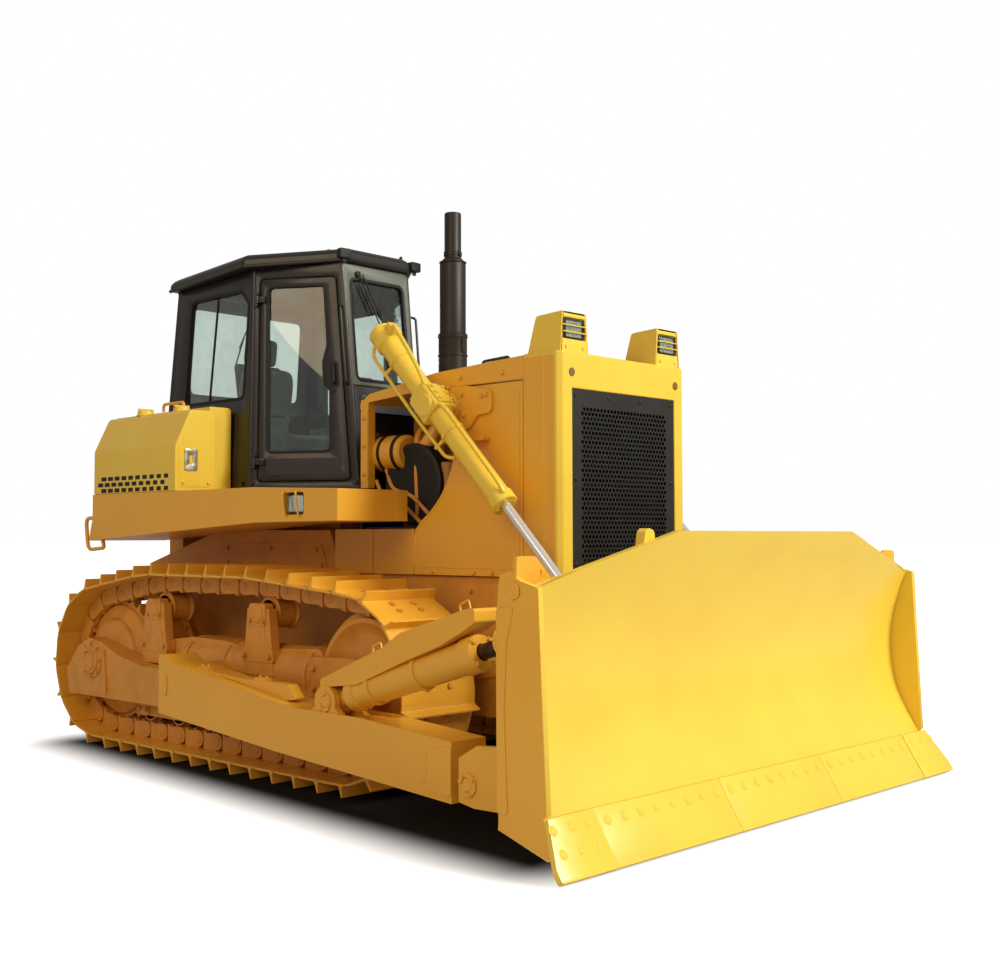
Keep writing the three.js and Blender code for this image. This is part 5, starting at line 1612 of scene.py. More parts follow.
def tank_vents(bm):
    """Three rows of staggered vents, like courses of bricks, on the tank's outer side: near-black plates laid
    flush, painted shade standing in for the dark inside the openings.
    """
    for row in range(3):
        z = 1799 + row * 42
        for k in range(11):
            y = TANK_FRONT + 84 + 45 * (row % 2) + k * 90
            length = 52 + 2.2 * k
            if y + length > TANK_REAR - 40:
                continue
            outline = tile(y, y + length, z, z + 29, 6, 2)
            plate(bm, outline, "x", FENDER - 3, FENDER + 0.6)


def tank_handle(bm):
    bent_bar(bm, [(900, -560, 2386), (900, -560, 2440), (900, -300, 2440), (900, -300, 2386)], 11, 30)


def rear_tank_trim(bm):
    rear = high("rear_tank", 1)
    panel = tile(-540, 540, 1640, 2200, 60, 5)
    plate(bm, panel, "y", rear - 4, rear)
    for x in (-300, 300):
        strap = tile(x - 32, x + 32, 1560, 2282, 4, 1)
        plate(bm, strap, "y", rear - 6, rear)
    for x in (-590, 590):
        for z in (1640, 2200):
            turned(bm, [(-2, 16), (-0.4, 15), (-0.2, 0)], (x, rear, z), BACK, 6)


def rear_tank_cap(bm):
    turned(bm, [(0, 74), (8, 72), (12, 62), (40, 60), (48, 50), (48, 0)], (360, 360, 2296), UP, 40)
    for x in (-560, 560):
        turned(bm, [(0, 34), (12, 30), (12, 0)], (x * 0.8, 380, 2298), UP, 24)
    bent_bar(bm, [(-420, 260, 2296), (-420, 260, 2350), (-120, 260, 2350), (-120, 260, 2296)], 11, 30)


def build_tanks():
    pair(side_tank, "blade", stands_for="side_tank", edge=5, steps=3)
    pair(tank_trim, "blade", edge=2, steps=2)
    pair(tank_latch, "plate")
    pair(tank_vents, "rubber")
    pair(tank_handle, "body")
    from_cad("rear_tank", "rear_tank", "body", edge=18, steps=5)
    drawn(rear_tank_trim, "body", edge=1)
    drawn(rear_tank_cap, "body", edge=1)


# ---------------------------------------------------------------- cab

CAB_FLOOR = 1790
CAB_TOP = 3386
CAB_FALL = 0.0436
WALL = 45


def cab_corner(name, z):
    """A corner of the cab's outside at a height; the walls lean in towards the roof."""
    t = (z - CAB_FLOOR) / (CAB_TOP - CAB_FLOOR)
    corners = {
        "rear": (700 - 60 * t, 42 - 125 * t),
        "bend": (700 - 60 * t, -1065 + 39 * t),
        "nose": (289 + 21 * t, -1775 + 179 * t),
    }
    x, y = corners[name.split("-")[0]]
    return Vector((-x if name.endswith("-right") else x, y, z))


def cab_top_at(name):
    corner = cab_corner(name, CAB_TOP)
    return CAB_TOP - CAB_FALL * (corner.y + 1596)


class Wall:
    """One flat wall of the cab, from one corner to the next, with depths measured inwards."""

    def __init__(self, start, end):
        self.start, self.end = start, end
        foot = cab_corner(start, CAB_FLOOR)
        self.matrix = plane_at(foot, cab_corner(end, CAB_FLOOR) - foot, cab_corner(start, CAB_TOP) - foot)
        self.inverse = self.matrix.inverted()

    def at(self, t, z):
        place = self.inverse @ cab_corner(self.start, z).lerp(cab_corner(self.end, z), t)
        return (place.x, place.y)

    def outline(self, pairs):
        return [self.at(t, z) for t, z in pairs]

    def whole(self, bottom, trim=0.0):
        top = [(1 - trim, cab_top_at(self.end) - 4), (trim, cab_top_at(self.start) - 4)]
        return self.outline([(trim, bottom), (1 - trim, bottom)] + top)

    def sheet(self, bm, outlines, near, far, edge):
        sheet_on(bm, outlines, self.matrix, near, far, edge)

    def point(self, t, z, depth):
        a, b = self.at(t, z)
        return self.matrix @ Vector((a, b, depth))

    def inward(self):
        return self.matrix.to_3x3() @ Vector((0, 0, 1))


SIDE_WALL = Wall("rear", "bend")
DOOR_WALL = Wall("bend", "nose")
FRONT_WALL = Wall("nose", "nose-right")
REAR_WALL = Wall("rear-right", "rear")
DOOR_HOLE = [(0.08, 1860), (0.93, 1860), (0.93, 3290), (0.08, 3290)]
DOOR_WINDOW = [(0.17, 2066), (0.76, 2066), (0.79, 2490), (0.735, 2530), (0.735, 2690), (0.79, 2800),
               (0.79, 3230), (0.17, 3230)]


def grown(outline, distance):
    """An outline moved outwards all round, whichever way it runs."""
    points = [Vector(p) for p in outline]
    area = sum(a.x * b.y - b.x * a.y for a, b in zip(points, points[1:] + points[:1]))
    sign = 1 if area > 0 else -1
    result = []
    for k, here in enumerate(points):
        run = (here - points[k - 1]).normalized()
        ahead = (points[(k + 1) % len(points)] - here).normalized()
        out = Vector((run.y + ahead.y, -run.x - ahead.x))
        if out.length < 1e-6:
            out = Vector((run.y, -run.x))
        out.normalize()
        reach = distance / max(0.4, out.dot(Vector((run.y, -run.x))))
        result.append(tuple(here + out * reach * sign))
    return result


def side_share(y, z):
    """How far along the side wall a place on it lies."""
    start, end = cab_corner("rear", z).y, cab_corner("bend", z).y
    return (y - start) / (end - start)


def side_window():
    """The side wall's one window, its upper front corner cut off."""
    places = [(-222, 2455), (-962, 2455), (-985, 3126), (-890, 3225), (-262, 3225)]
    return rounded(SIDE_WALL.outline([(side_share(y, z), z) for y, z in places]), [46, 46, 50, 50, 46], 5)


def centred_window(wall, corner, half, bottom, top, radius):
    """A window in the middle of a wall that runs across the machine."""
    def share(z):
        return 0.5 - half / (2 * cab_corner(corner, z).x)
    places = [(share(bottom), bottom), (1 - share(bottom), bottom), (1 - share(top), top), (share(top), top)]
    return rounded(wall.outline(places), radius, 5)


def windshield_outline():
    return centred_window(FRONT_WALL, "nose", 243, 2562, 3278, 52)


def rear_window():
    return centred_window(REAR_WALL, "rear", 518, 2562, 3223, 60)


def door_window():
    return rounded(DOOR_WALL.outline(DOOR_WINDOW), [44, 44, 30, 22, 22, 30, 44, 44], 5)


def cab_side_wall(bm):
    SIDE_WALL.sheet(bm, [SIDE_WALL.whole(CAB_FLOOR + 2), side_window()[::-1]], 0, WALL, 3)


def cab_door_wall(bm):
    hole = rounded(DOOR_WALL.outline(DOOR_HOLE), 40, 5)[::-1]
    DOOR_WALL.sheet(bm, [DOOR_WALL.whole(CAB_FLOOR + 2), hole], 0, WALL, 3)


def cab_rear_wall(bm):
    REAR_WALL.sheet(bm, [REAR_WALL.whole(CAB_FLOOR + 2), rear_window()[::-1]], 0, WALL, 3)


def cab_corner_posts(bm):
    for name in ("rear", "bend", "nose"):
        inset = {"rear": (-22, -22), "bend": (-24, 8), "nose": (-14, 26)}[name]
        path = []
        for z in (CAB_FLOOR + 6, cab_top_at(name) - 6):
            place = cab_corner(name, z)
            path.append((place.x + inset[0], place.y + inset[1], z))
        pipe(bm, path, 30 if name != "nose" else 26, 20, smooth=False)


def cab_front_wall(bm):
    outline = FRONT_WALL.outline([(0.02, 2525), (0.98, 2525)]) + FRONT_WALL.whole(2525, 0.02)[2:]
    FRONT_WALL.sheet(bm, [outline, windshield_outline()[::-1]], 0, WALL, 3)


def cab_front_panel(bm):
    outline = FRONT_WALL.outline(rectangle(0.02, 0.98, CAB_FLOOR + 2, 2519))
    FRONT_WALL.sheet(bm, [outline], 2, WALL, 3)
    panel = rounded(FRONT_WALL.outline(rectangle(0.12, 0.88, 1900, 2460)), 26)
    FRONT_WALL.sheet(bm, [panel], -4, 6, 2)


def seal_ring(bm, wall, outline, near=-3, far=30):
    """The rubber profile that holds a pane: a rounded bead that laps the wall and the glass."""
    wall.sheet(bm, [grown(outline, 13), grown(outline, -9)[::-1]], near, far, 3)


def side_seals(bm):
    seal_ring(bm, SIDE_WALL, side_window())
    seam = [(side_share(y, z), z) for y, z in ((-514, 2452), (-528, 2452), (-592, 3228), (-578, 3228))]
    SIDE_WALL.sheet(bm, [SIDE_WALL.outline(seam)], 13, 28, 1)


def windshield_seal(bm):
    seal_ring(bm, FRONT_WALL, windshield_outline())


def rear_seal(bm):
    seal_ring(bm, REAR_WALL, rear_window())


def door_frame_seal(bm):
    outline = rounded(DOOR_WALL.outline(DOOR_HOLE), 40, 5)
    DOOR_WALL.sheet(bm, [grown(outline, 9), grown(outline, 0.5)[::-1]], -2.5, 6, 1)


def side_glass(bm):
    SIDE_WALL.sheet(bm, [grown(side_window(), -1)], 18, 24, 0)


def windshield(bm):
    FRONT_WALL.sheet(bm, [grown(windshield_outline(), -1)], 18, 24, 0)


def rear_glass(bm):
    REAR_WALL.sheet(bm, [grown(rear_window(), -1)], 18, 24, 0)


def door_glass(bm):
    DOOR_WALL.sheet(bm, [grown(door_window(), -1)], 14, 20, 0)


def cab_door(bm):
    outline = grown(rounded(DOOR_WALL.outline(DOOR_HOLE), 38, 5), -7)
    DOOR_WALL.sheet(bm, [outline, door_window()[::-1]], -4, 41, 4)
    lower = rounded(DOOR_WALL.outline(rectangle(0.16, 0.85, 1905, 2020)), 18)
    DOOR_WALL.sheet(bm, [lower], -7, 0, 2)


def door_seal(bm):
    DOOR_WALL.sheet(bm, [grown(door_window(), 12), grown(door_window(), -8)[::-1]], -7, 26, 3)


def door_hinges(bm):
    """Knuckles and straps of the door's two hinges."""
    for z in (2000, 3140):
        along = DOOR_WALL.point(0.055, z + 29, -24) - DOOR_WALL.point(0.055, z - 29, -24)
        turned(bm, [(0, 12), (2, 15), (56, 15), (58, 12)], DOOR_WALL.point(0.055, z - 29, -24), along, 24)
        strap = rounded(DOOR_WALL.outline([(0.066, z - 24), (0.155, z - 20), (0.155, z + 20),
                                           (0.066, z + 24)]), 8, 3)
        DOOR_WALL.sheet(bm, [strap], -29, -20, 2)
        foot = rounded(DOOR_WALL.outline(rectangle(0.10, 0.158, z - 23, z + 23)), 6, 3)
        DOOR_WALL.sheet(bm, [foot], -22, -3, 2)
        for t in (0.117, 0.142):
            bolt(bm, DOOR_WALL.point(t, z, -28.5), -DOOR_WALL.inward(), 15)


def hinge_lugs(bm):
    """The fixed lugs of the hinges and the pins through them."""
    for z in (2000, 3140):
        start, end = DOOR_WALL.point(0.055, z - 50, -24), DOOR_WALL.point(0.055, z + 50, -24)
        turned(bm, [(0, 9), (2, 11), (6, 11), (7, 8), (94, 8), (94, 11), (98, 11), (100, 9)], start,
               end - start, 20)
        for z0, z1 in ((z - 46, z - 31), (z + 31, z + 46)):
            lug = DOOR_WALL.outline(rectangle(0.036, 0.074, z0, z1))
            DOOR_WALL.sheet(bm, [rounded(lug, 3, 2)], -35, 2, 1)


def door_handle(bm):
    t, z = 0.845, 2600
    bed = rounded(DOOR_WALL.outline(rectangle(t - 0.045, t + 0.04, z - 90, z + 90)),
                  24)
    DOOR_WALL.sheet(bm, [bed], -9, 0, 2)
    path = [DOOR_WALL.point(t, z - 66, -6), DOOR_WALL.point(t, z - 60, -34), DOOR_WALL.point(t, z + 60, -34),
            DOOR_WALL.point(t, z + 66, -6)]
    bent_bar(bm, path, 9, 18)
    turned(bm, [(0, 15), (5, 13), (5, 5), (3, 5), (3, 0)], DOOR_WALL.point(t - 0.02, z - 120, -4),
           -DOOR_WALL.inward(), 20)


def cab_grab_rail(bm):
    """The slim black rail beside the door, on the post at the cab's nose."""
    path = []
    for z, depth in ((2525, -2), (2535, -40), (3060, -40), (3070, -2)):
        path.append(DOOR_WALL.point(0.965, z, depth))
    bent_bar(bm, path, 9, 26, 14)


def wipers(bm):
    wall = FRONT_WALL
    turned(bm, [(0, 22), (18, 20), (22, 10), (22, 0)], wall.point(0.79, 3312, 0), -wall.inward(), 20)
    for t in (0.79, 0.73):
        pipe(bm, [wall.point(t, 3312, -16), wall.point(t - 0.36, 2860, -12)], 5, 10, smooth=False)
    pipe(bm, [wall.point(0.47, 3080, 4), wall.point(0.36, 2640, 4)], 6, 8, smooth=False)
    turned(bm, [(0, 20), (16, 18), (20, 10), (20, 0)], REAR_WALL.point(0.55, 3262, 0), -REAR_WALL.inward(),
           20)
    pipe(bm, [REAR_WALL.point(0.55, 3262, -14), REAR_WALL.point(0.45, 2960, -10)], 5, 10, smooth=False)
    pipe(bm, [REAR_WALL.point(0.48, 3080, 4), REAR_WALL.point(0.42, 2800, 4)], 6, 8, smooth=False)


def cab_side_panel(bm):
    for wall, places in ((SIDE_WALL, (0.06, 0.3, 0.6, 0.94)), (DOOR_WALL, (0.03, 0.97))):
        for t in places:
            bolt(bm, wall.point(t, 1850, 0), -wall.inward(), 24)
    for z in (2380, 2390):
        bolt(bm, SIDE_WALL.point(0.12, z, 0), -SIDE_WALL.inward(), 18)
    panel = rounded(SIDE_WALL.outline(rectangle(0.12, 0.86, 1930, 2360)), 40)
    SIDE_WALL.sheet(bm, [panel], -3, 3, 2)


def cab_rear_panel(bm):
    panel = rounded(REAR_WALL.outline(rectangle(0.1, 0.9, 1900, 2480)), 40)
    REAR_WALL.sheet(bm, [panel], -4, 3, 2)
    for k in range(7):
        z = 2090 + k * 46
        slot = rounded(REAR_WALL.outline(rectangle(0.3, 0.7, z, z + 14)), 6, 2)
        REAR_WALL.sheet(bm, [slot], -8, 0, 1)


def build_cab_walls():
    drawn(cab_rear_wall, "cab", stands_for=("cab_frame",))
    pair(cab_side_wall, "cab")
    pair(cab_door_wall, "cab")
    pair(cab_corner_posts, "cab")
    pair(hinge_lugs, "cab")
    drawn(cab_front_wall, "front")
    drawn(cab_front_panel, "cab")
    pair(cab_side_panel, "cab")
    drawn(cab_rear_panel, "cab")
    pair(cab_grab_rail, "cab")
    drawn(wipers, "rubber", slot="cab_paint")


def build_cab_windows():
    drawn(windshield, "glass", stands_for=("windshield",))
    drawn(rear_glass, "glass", stands_for=("rear_glass",))
    pair(side_glass, "glass", stands_for="side_glass")
    drawn(windshield_seal, "rubber", slot="cab_paint")
    drawn(rear_seal, "rubber", slot="cab_paint")
    pair(side_seals, "rubber", slot="cab_paint")
    pair(door_frame_seal, "rubber", slot="cab_paint")


def build_doors():
    pair(cab_door, "cab", "door_{side}", stands_for="cab_door")
    pair(door_glass, "glass", "door_{side}", stands_for="door_glass")
    pair(door_seal, "rubber", "door_{side}", "cab_paint")
    pair(door_hinges, "cab", "door_{side}")
    pair(door_handle, "rubber", "door_{side}", "cab_paint")


# ---------------------------------------------------------------- roof

def roof_z(y, rise=0.0):
    return CAB_TOP - CAB_FALL * (y + 1596) + rise


def work_lamp(bm, place, direction, half=52, rise=40):
    """A small square lamp on its foot."""
    matrix = Matrix.Translation(place) @ basis(direction)
    body = tile(-half, half, -rise, rise, 12, 3)
    sheet_on(bm, [body], matrix, -52, 0, 6)
    foot = tile(-14, 14, -rise - 26, -rise + 6, 4, 2)
    sheet_on(bm, [foot], matrix, -34, -18, 2)


def roof_trim(bm):
    rim = [(700, -43), (735, -1026), (300, -1641)]
    for (x0, y0), (x1, y1) in zip(rim, rim[1:]):
        pipe(bm, [(x0 - 6, y0, roof_z(y0, 10)), (x1 - 6, y1, roof_z(y1, 10))], 13, 12, smooth=False)
    for x, y in ((600, -120), (620, -900), (300, -1440)):
        bolt(bm, (x, y, roof_z(y, 98)), (0, 0.04, 1), 26)
    hatch = tile(60, 420, -1000, -300, 40)
    made = plate(bm, hatch, "z", 0, 10)
    for vert in made:
        vert.co.z += roof_z(vert.co.y, 96)


def roof_lamps(bm):
    work_lamp(bm, (640, -1130, roof_z(-1130, 46)), (0.55, -0.83, 0), 46, 34)
    work_lamp(bm, (330, -1668, roof_z(-1640, 44)), (0.1, -1, 0), 46, 34)
    work_lamp(bm, (560, 0, roof_z(-30, 36)), (0.1, 1, 0), 46, 34)


def roof_rail(bm):
    path = [(330, -1500, roof_z(-1500, 96)), (330, -1500, roof_z(-1500, 148)),
            (600, -1090, roof_z(-1090, 148)), (600, -1090, roof_z(-1090, 96))]
    bent_bar(bm, path, 10, 40)


def build_roof():
    from_cad("cab_roof", "cab_roof", "cab", edge=22, steps=5)
    pair(roof_trim, "cab", edge=2)
    pair(roof_lamps, "rubber", slot="cab_paint")
    drawn(roof_rail, "cab")


# ---------------------------------------------------------------- inside the cab

SEAT_FOOT = CAB_FLOOR + 45


def cushion(name, centre, size, turn=0.0, crown=14, bolster=16, channels=(-0.3, 0.3)):
    """A stuffed cushion with a crowned top, side bolsters, stitched channels and a piped seam."""
    bm = bmesh.new()
    bmesh.ops.create_cube(bm, size=2)
    bmesh.ops.subdivide_edges(bm, edges=bm.edges[:], cuts=22, use_grid_fill=True)
    half = Vector(size) / 2
    for vert in bm.verts:
        u, v, w = vert.co
        norm = (abs(u) ** 6 + abs(v) ** 6 + abs(w) ** 6) ** (1 / 6)
        u, v, w = u / norm, v / norm, w / norm
        rise = max(w, 0) * crown * (1 - u * u) * (1 - v * v)
        side = max(w, 0) * bolster * min(1, max(0, (abs(u) - 0.55) / 0.25)) * (1 - max(0, abs(u) - 0.85) * 4)
        stitch = sum(exp(-((v - c) / 0.05) ** 2) for c in channels) if abs(u) < 0.62 else 0
        seam = exp(-((abs(u) - 0.64) / 0.03) ** 2)
        stitch = 7 * max(w, 0) * (stitch + seam)
        vert.co = Vector((u * half.x, v * half.y, w * half.z + rise + side - stitch))
    rim = []
    for k in range(64):
        a = 2 * pi * k / 64
        u, v = cos(a), sin(a)
        norm = (abs(u) ** 6 + abs(v) ** 6) ** (1 / 6) * 1.002
        rim.append(Vector((u / norm * half.x * 0.992, v / norm * half.y * 0.992, half.z * 0.42)))
    pipe(bm, rim + [rim[0]], 3.5, 8, smooth=False)
    matrix = Matrix.Translation(centre) @ Matrix.Rotation(radians(turn), 4, "X")
    bmesh.ops.transform(bm, matrix=matrix, verts=bm.verts)
    obj = piece(name, bm, "cloth", slot="seat_cover", edge=0, angle=60)
    return obj


def seat_frame(bm):
    foot = SEAT_FOOT
    block(bm, -176, 176, -750, -370, foot + 1, foot + 60)
    for k in range(5):
        outline = tile(-150 - 8 * (k % 2), 150 + 8 * (k % 2), -720, -400, 40)
        plate(bm, outline, "z", foot + 60 + k * 34, foot + 94 + k * 34)
    block(bm, -200, 200, -800, -360, foot + 232, foot + 290)
    for x in (-236, 236):
        bent_bar(bm, [(x, -330, foot + 300), (x, -300, foot + 520), (x, -360, foot + 560)], 16, 60)
    for x in (-60, 60):
        rod(bm, (x, -236, foot + 930), (x, -218, foot + 1060), 8, 12)
    shell = rounded([(-330, foot + 300), (-296, foot + 300), (-178, foot + 960), (-200, foot + 990)], 14, 3)
    plate(bm, shell, "x", -205, 205)


def seat_armrests(bm):
    for x in (-262, 262):
        outline = rounded([(-640, SEAT_FOOT + 550), (-330, SEAT_FOOT + 556), (-326, SEAT_FOOT + 596),
                           (-640, SEAT_FOOT + 592)], 18)
        plate(bm, outline, "x", x - 34, x + 34)


def build_seat():
    drawn(seat_frame, "rubber", slot="seat_cover", stands_for=("operator_seat",), edge=4, steps=3)
    drawn(seat_armrests, "rubber", slot="seat_cover", edge=10, steps=4)
    cushion("seat_cushion", (0, -650, SEAT_FOOT + 345), (500, 500, 120), 4, channels=(-0.35, 0.3))
    cushion("seat_back", (0, -290, SEAT_FOOT + 640), (450, 620, 110), -80, 12, 20, (-0.45, 0.05, 0.5))
    cushion("seat_headrest", (0, -238, SEAT_FOOT + 1080), (260, 210, 90), -82, 10, 6, ())


def console_tops(bm):
    for x in (-445, 445):
        top = tile(x - 108, x + 108, -1030, -430, 30)
        plate(bm, top, "z", 2326, 2344)
    outline = tile(-200, 200, -1582, -1418, 20, 3)
    plate(bm, outline, "z", 2476, 2490)
    hood = rounded([(-1582, 2488), (-1420, 2488), (-1440, 2560), (-1560, 2600)], 16, 3)
    plate(bm, hood, "x", -190, 190)


def controls(bm):
    for x, lean in ((445, 0.15), (-445, -0.1)):
        turned(bm, [(0, 46), (14, 42), (30, 26), (44, 14), (44, 0)], (x, -900, 2344), UP, 28)
        rod(bm, (x, -900, 2380), (x + lean * 40, -912, 2500), 8, 12)
        turned(bm, [(0, 16), (16, 24), (70, 26), (104, 20), (112, 0)], (x + lean * 40, -912, 2490),
               (lean, -0.12, 1), 24)
    for x in (-130, -50, 50, 130):
        outline = tile(x - 34, x + 34, 1960, 2060, 10, 3)
        plate(bm, outline, "y", -1400, -1390)
        rod(bm, (x, -1420, 2010), (x, -1398, 2010), 9, 10)
    screen = tile(-110, 110, 2500, 2620, 12, 3)
    plate(bm, screen, "y", -1436, -1408)


def floor_mat(bm):
    plate(bm, tile(-300, 300, -1400, -800, 30), "z", SEAT_FOOT - 1, SEAT_FOOT + 8)
    for k in range(11):
        block(bm, -270, 270, -1370 + k * 54, -1362 + k * 54, SEAT_FOOT + 7, SEAT_FOOT + 12)


def build_cab_inside():
    from_cad("cab_floor", "cab_floor", "trim", edge=16, steps=4)
    drawn(console_tops, "rubber", slot="cab_trim", edge=4, steps=3)
    drawn(controls, "rubber", slot="cab_trim", edge=2)
    drawn(floor_mat, "rubber", slot="cab_trim", edge=1)


# ---------------------------------------------------------------- stage

def white_floor(tree):
    """A matt floor that lights the machine from below. The camera sees a painted shadow on it under the
    machine, in a shape that widens towards the blade, and white around it."""
    matt = add(tree, "BsdfDiffuse", {"Color": (0.56, 0.575, 0.60, 1)})
    place = add(tree, "NewGeometry").outputs["Position"]
    mirrored = add(tree, "VectorMath", {"operation": "ABSOLUTE"}, {0: place})
    taper = add(tree, "VectorMath", {"operation": "CROSS_PRODUCT", 1: (0, 0, -0.09)}, {0: place})
    half = add(tree, "VectorMath", {"operation": "MULTIPLY_ADD", 1: (1, 0, 0), 2: (1.40, 2.36, 0)},
               {0: taper})
    beyond = add(tree, "VectorMath", {"operation": "SUBTRACT"}, {0: mirrored, 1: half})
    outside = add(tree, "VectorMath", {"operation": "MAXIMUM", 1: (0, 0, 0)}, {0: beyond})
    reach = add(tree, "VectorMath", {"operation": "LENGTH"}, {0: outside})
    # Painted shadow: a mask that is 0 inside the machine's footprint and 1 beyond 0.6 m from it darkens the
    # floor's colour to near black and fades its white glow.
    clear = add(tree, "MapRange", {"interpolation_type": "SMOOTHSTEP", "From Max": 0.60}, {"Value": reach})
    painted_shadow_tone = add(tree, "MapRange", {"To Min": 0.02, "To Max": 0.56}, {"Value": clear})
    dark = add(tree, "BsdfDiffuse", None, {"Color": painted_shadow_tone})
    glow = add(tree, "Emission", {"Color": (1, 1, 1, 1)}, {"Strength": clear})
    seen = add(tree, "AddShader", None, {0: dark, 1: glow})
    path = add(tree, "LightPath").outputs["Is Camera Ray"]
    return add(tree, "MixShader", None, {0: path, 1: matt, 2: seen})


def studio_world():
    """A soft dome that lights the machine, and plain white where the camera sees it, also through glass."""
    world = bpy.data.worlds.new("studio")
    world.use_nodes = True
    tree = world.node_tree
    tree.nodes.clear()
    dome = add(tree, "Background", {"Color": (1.0, 0.90, 0.78, 1), "Strength": 0.40})
    white = add(tree, "Background", {"Color": (1, 1, 1, 1), "Strength": 1.0})
    path = add(tree, "LightPath")
    bright = add(tree, "Math", {"operation": "MAXIMUM"},
                 {0: path.outputs["Is Camera Ray"], 1: path.outputs["Is Transmission Ray"]})
    add(tree, "OutputWorld", None, {"Surface": add(tree, "MixShader", None, {0: bright, 1: dome, 2: white})})
    bpy.context.scene.world = world


def area_light(name, place, target, size, power, colour):
    light = bpy.data.lights.new(name, "AREA")
    light.shape = "DISK"
    light.size = size
    light.energy = power
    light.color = colour
    lamp = placed(name, light)
    lamp.location = place
    lamp.rotation_euler = (Vector(target) - Vector(place)).to_track_quat("-Z", "Y").to_euler()


def build_stage():
    bm = bmesh.new()
    bmesh.ops.create_grid(bm, x_segments=2, y_segments=2, size=400)
    mesh = bpy.data.meshes.new("floor")
    bm.to_mesh(mesh)
    bm.free()
    floor = placed("floor", mesh)
    floor.location = (0, 0, -0.001)
    mesh.materials.append(finish("studio_floor", white_floor))
    studio_world()
    middle = (0, 0, 1.4)
    area_light("key", (3.5, -13.5, 10.0), middle, 6, 2350, (1.0, 0.97, 0.86))
    area_light("side", (-14.0, -4.0, 9.0), middle, 9, 610, (1.0, 0.74, 0.49))
    place_camera((-6.03783, AXLE_Y - 8.57387, 1.4712), 46.3418, 2.6646, -0.1127, 46.954)
    bpy.context.scene.view_settings.view_transform = "Standard"


def place_camera(place, heading, rise, tilt, lens):
    """The scene's camera: its heading from +Y towards +X, rise and tilt in degrees, and its lens in mm."""
    yaw, pitch, roll = radians(heading), radians(rise), radians(tilt)
    ahead = Vector((sin(yaw) * cos(pitch), cos(yaw) * cos(pitch), sin(pitch)))
    right = ahead.cross(Vector(UP)).normalized()
    up = right.cross(ahead)
    right, up = right * cos(roll) + up * sin(roll), up * cos(roll) - right * sin(roll)
    camera = bpy.data.cameras.new("camera")
    camera.sensor_width = 36
    camera.lens = lens
    camera.clip_end = 500
    viewer = placed("camera", camera)
    turn = Matrix((right, up, -ahead)).transposed().to_4x4()
    viewer.matrix_world = Matrix.Translation(place) @ turn
    bpy.context.scene.camera = viewer


# ---------------------------------------------------------------- add-on

class DOZER_OT_finishes(bpy.types.Operator):
    """Makes every finish from the chosen colours"""
    bl_idname = "dozer.finishes"
    bl_label = "Finishes"

    def execute(self, context):
        make_finishes(context.scene.dozer_colours)
        return {"FINISHED"}


class DOZER_OT_tracks(bpy.types.Operator):
    """Shoes, links, bolts and bushings of both tracks"""
    bl_idname = "dozer.tracks"
    bl_label = "Tracks"

    def execute(self, context):
        build_tracks()
        return {"FINISHED"}


class DOZER_OT_wheels(bpy.types.Operator):
    """Sprockets, idlers and rollers"""
    bl_idname = "dozer.wheels"
    bl_label = "Wheels"

    def execute(self, context):
        build_wheels()
        return {"FINISHED"}


class DOZER_OT_roller_frames(bpy.types.Operator):
    """The roller frames with their covers and posts"""
    bl_idname = "dozer.roller_frames"
    bl_label = "Roller Frames"

    def execute(self, context):
        build_roller_frames()
        return {"FINISHED"}


class DOZER_OT_push_arms(bpy.types.Operator):
    """The push arms and their pivots"""
    bl_idname = "dozer.push_arms"
    bl_label = "Push Arms"

    def execute(self, context):
        build_push_arms()
        return {"FINISHED"}


class DOZER_OT_tilt_struts(bpy.types.Operator):
    """The tilt cylinder on the right and the brace on the left"""
    bl_idname = "dozer.tilt_struts"
    bl_label = "Tilt Struts"

    def execute(self, context):
        build_tilt_struts()
        return {"FINISHED"}


class DOZER_OT_lift_cylinders(bpy.types.Operator):
    """The lift cylinders, their carriers and pipes"""
    bl_idname = "dozer.lift_cylinders"
    bl_label = "Lift Cylinders"

    def execute(self, context):
        build_lift_cylinders()
        return {"FINISHED"}


class DOZER_OT_blade(bpy.types.Operator):
    """The moldboard, edges, end bits and pins"""
    bl_idname = "dozer.blade"
    bl_label = "Blade"

    def execute(self, context):
        build_blade()
        return {"FINISHED"}


class DOZER_OT_hull(bpy.types.Operator):
    """The main frame, its covers and the drawbar"""
    bl_idname = "dozer.hull"
    bl_label = "Hull"

    def execute(self, context):
        build_hull()
        return {"FINISHED"}


class DOZER_OT_engine(bpy.types.Operator):
    """The engine and what stands beside it"""
    bl_idname = "dozer.engine"
    bl_label = "Engine"

    def execute(self, context):
        build_engine()
        return {"FINISHED"}


class DOZER_OT_hood(bpy.types.Operator):
    """The hood and its side panels"""
    bl_idname = "dozer.hood"
    bl_label = "Hood"

    def execute(self, context):
        build_hood()
        return {"FINISHED"}


class DOZER_OT_nose(bpy.types.Operator):
    """The radiator guard, grille and core"""
    bl_idname = "dozer.nose"
    bl_label = "Nose"

    def execute(self, context):
        build_nose()
        return {"FINISHED"}


class DOZER_OT_headlamps(bpy.types.Operator):
    """The lamp boxes on the guard"""
    bl_idname = "dozer.headlamps"
    bl_label = "Headlamps"

    def execute(self, context):
        build_headlamps()
        return {"FINISHED"}


class DOZER_OT_exhaust(bpy.types.Operator):
    """The muffler and its pipe"""
    bl_idname = "dozer.exhaust"
    bl_label = "Exhaust"

    def execute(self, context):
        build_exhaust()
        return {"FINISHED"}


class DOZER_OT_platform(bpy.types.Operator):
    """The platform, fenders, work lamps and steps"""
    bl_idname = "dozer.platform"
    bl_label = "Platform"

    def execute(self, context):
        build_platform()
        return {"FINISHED"}


class DOZER_OT_tanks(bpy.types.Operator):
    """The side tanks and the rear tank"""
    bl_idname = "dozer.tanks"
    bl_label = "Tanks"

    def execute(self, context):
        build_tanks()
        return {"FINISHED"}


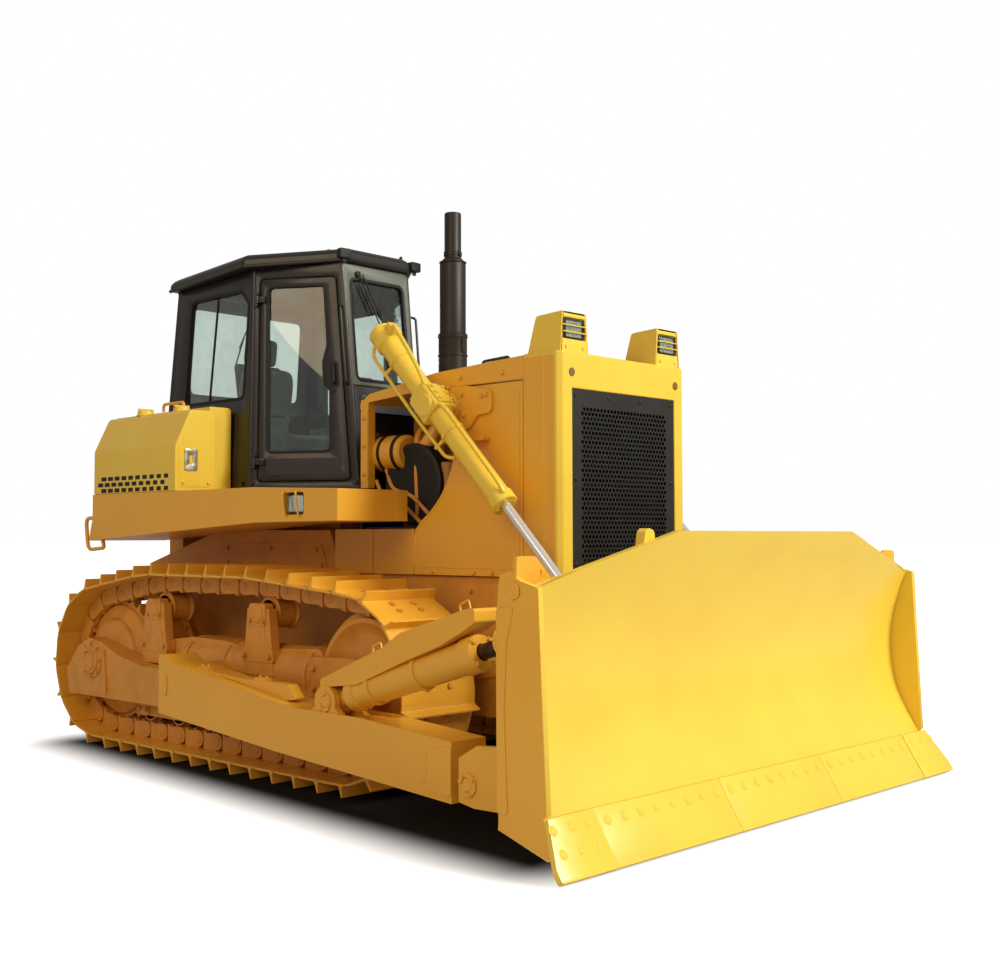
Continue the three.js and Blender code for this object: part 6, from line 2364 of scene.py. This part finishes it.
class DOZER_OT_cab_walls(bpy.types.Operator):
    """The cab's walls, posts and rails"""
    bl_idname = "dozer.cab_walls"
    bl_label = "Cab Walls"

    def execute(self, context):
        build_cab_walls()
        return {"FINISHED"}


class DOZER_OT_cab_windows(bpy.types.Operator):
    """The cab's panes and seals"""
    bl_idname = "dozer.cab_windows"
    bl_label = "Cab Windows"

    def execute(self, context):
        build_cab_windows()
        return {"FINISHED"}


class DOZER_OT_doors(bpy.types.Operator):
    """Both doors with glass, hinges and handles"""
    bl_idname = "dozer.doors"
    bl_label = "Doors"

    def execute(self, context):
        build_doors()
        return {"FINISHED"}


class DOZER_OT_roof(bpy.types.Operator):
    """The roof with its lamps and rail"""
    bl_idname = "dozer.roof"
    bl_label = "Roof"

    def execute(self, context):
        build_roof()
        return {"FINISHED"}


class DOZER_OT_cab_inside(bpy.types.Operator):
    """Floor, consoles and controls"""
    bl_idname = "dozer.cab_inside"
    bl_label = "Cab Inside"

    def execute(self, context):
        build_cab_inside()
        return {"FINISHED"}


class DOZER_OT_seat(bpy.types.Operator):
    """The operator's seat"""
    bl_idname = "dozer.seat"
    bl_label = "Seat"

    def execute(self, context):
        build_seat()
        return {"FINISHED"}


class DOZER_OT_stage(bpy.types.Operator):
    """Floor, lights and camera"""
    bl_idname = "dozer.stage"
    bl_label = "Stage"

    def execute(self, context):
        build_stage()
        return {"FINISHED"}


OPERATORS = (
    DOZER_OT_finishes, DOZER_OT_tracks, DOZER_OT_wheels, DOZER_OT_roller_frames, DOZER_OT_push_arms,
    DOZER_OT_tilt_struts, DOZER_OT_lift_cylinders, DOZER_OT_blade, DOZER_OT_hull, DOZER_OT_engine,
    DOZER_OT_hood, DOZER_OT_nose, DOZER_OT_headlamps, DOZER_OT_exhaust, DOZER_OT_platform,
    DOZER_OT_tanks, DOZER_OT_cab_walls, DOZER_OT_cab_windows, DOZER_OT_doors, DOZER_OT_roof,
    DOZER_OT_cab_inside, DOZER_OT_seat, DOZER_OT_stage,
)


class DOZER_PT_panel(bpy.types.Panel):
    """Sizes, colours and steps of the bulldozer"""
    bl_idname = "DOZER_PT_panel"
    bl_label = "Crawler Bulldozer"
    bl_space_type = "VIEW_3D"
    bl_region_type = "UI"
    bl_category = "Bulldozer"

    def draw(self, context):
        for group in (context.scene.dozer_sizes, context.scene.dozer_colours):
            column = self.layout.column()
            for name in group.bl_rna.properties.keys():
                if name not in ("rna_type", "name"):
                    column.prop(group, name)
        steps = self.layout.column()
        for operator in OPERATORS:
            steps.operator(operator.bl_idname)


CLASSES = (DozerSizes, DozerColours, *OPERATORS, DOZER_PT_panel)


def register():
    for cls in CLASSES:
        bpy.utils.register_class(cls)
    bpy.types.Scene.dozer_sizes = PointerProperty(type=DozerSizes)
    bpy.types.Scene.dozer_colours = PointerProperty(type=DozerColours)


def unregister():
    del bpy.types.Scene.dozer_colours
    del bpy.types.Scene.dozer_sizes
    for cls in reversed(CLASSES):
        bpy.utils.unregister_class(cls)


def main():
    register()
    for operator in OPERATORS:
        group, name = operator.bl_idname.split(".")
        getattr(getattr(bpy.ops, group), name)()


if __name__ == "__main__":
    main()
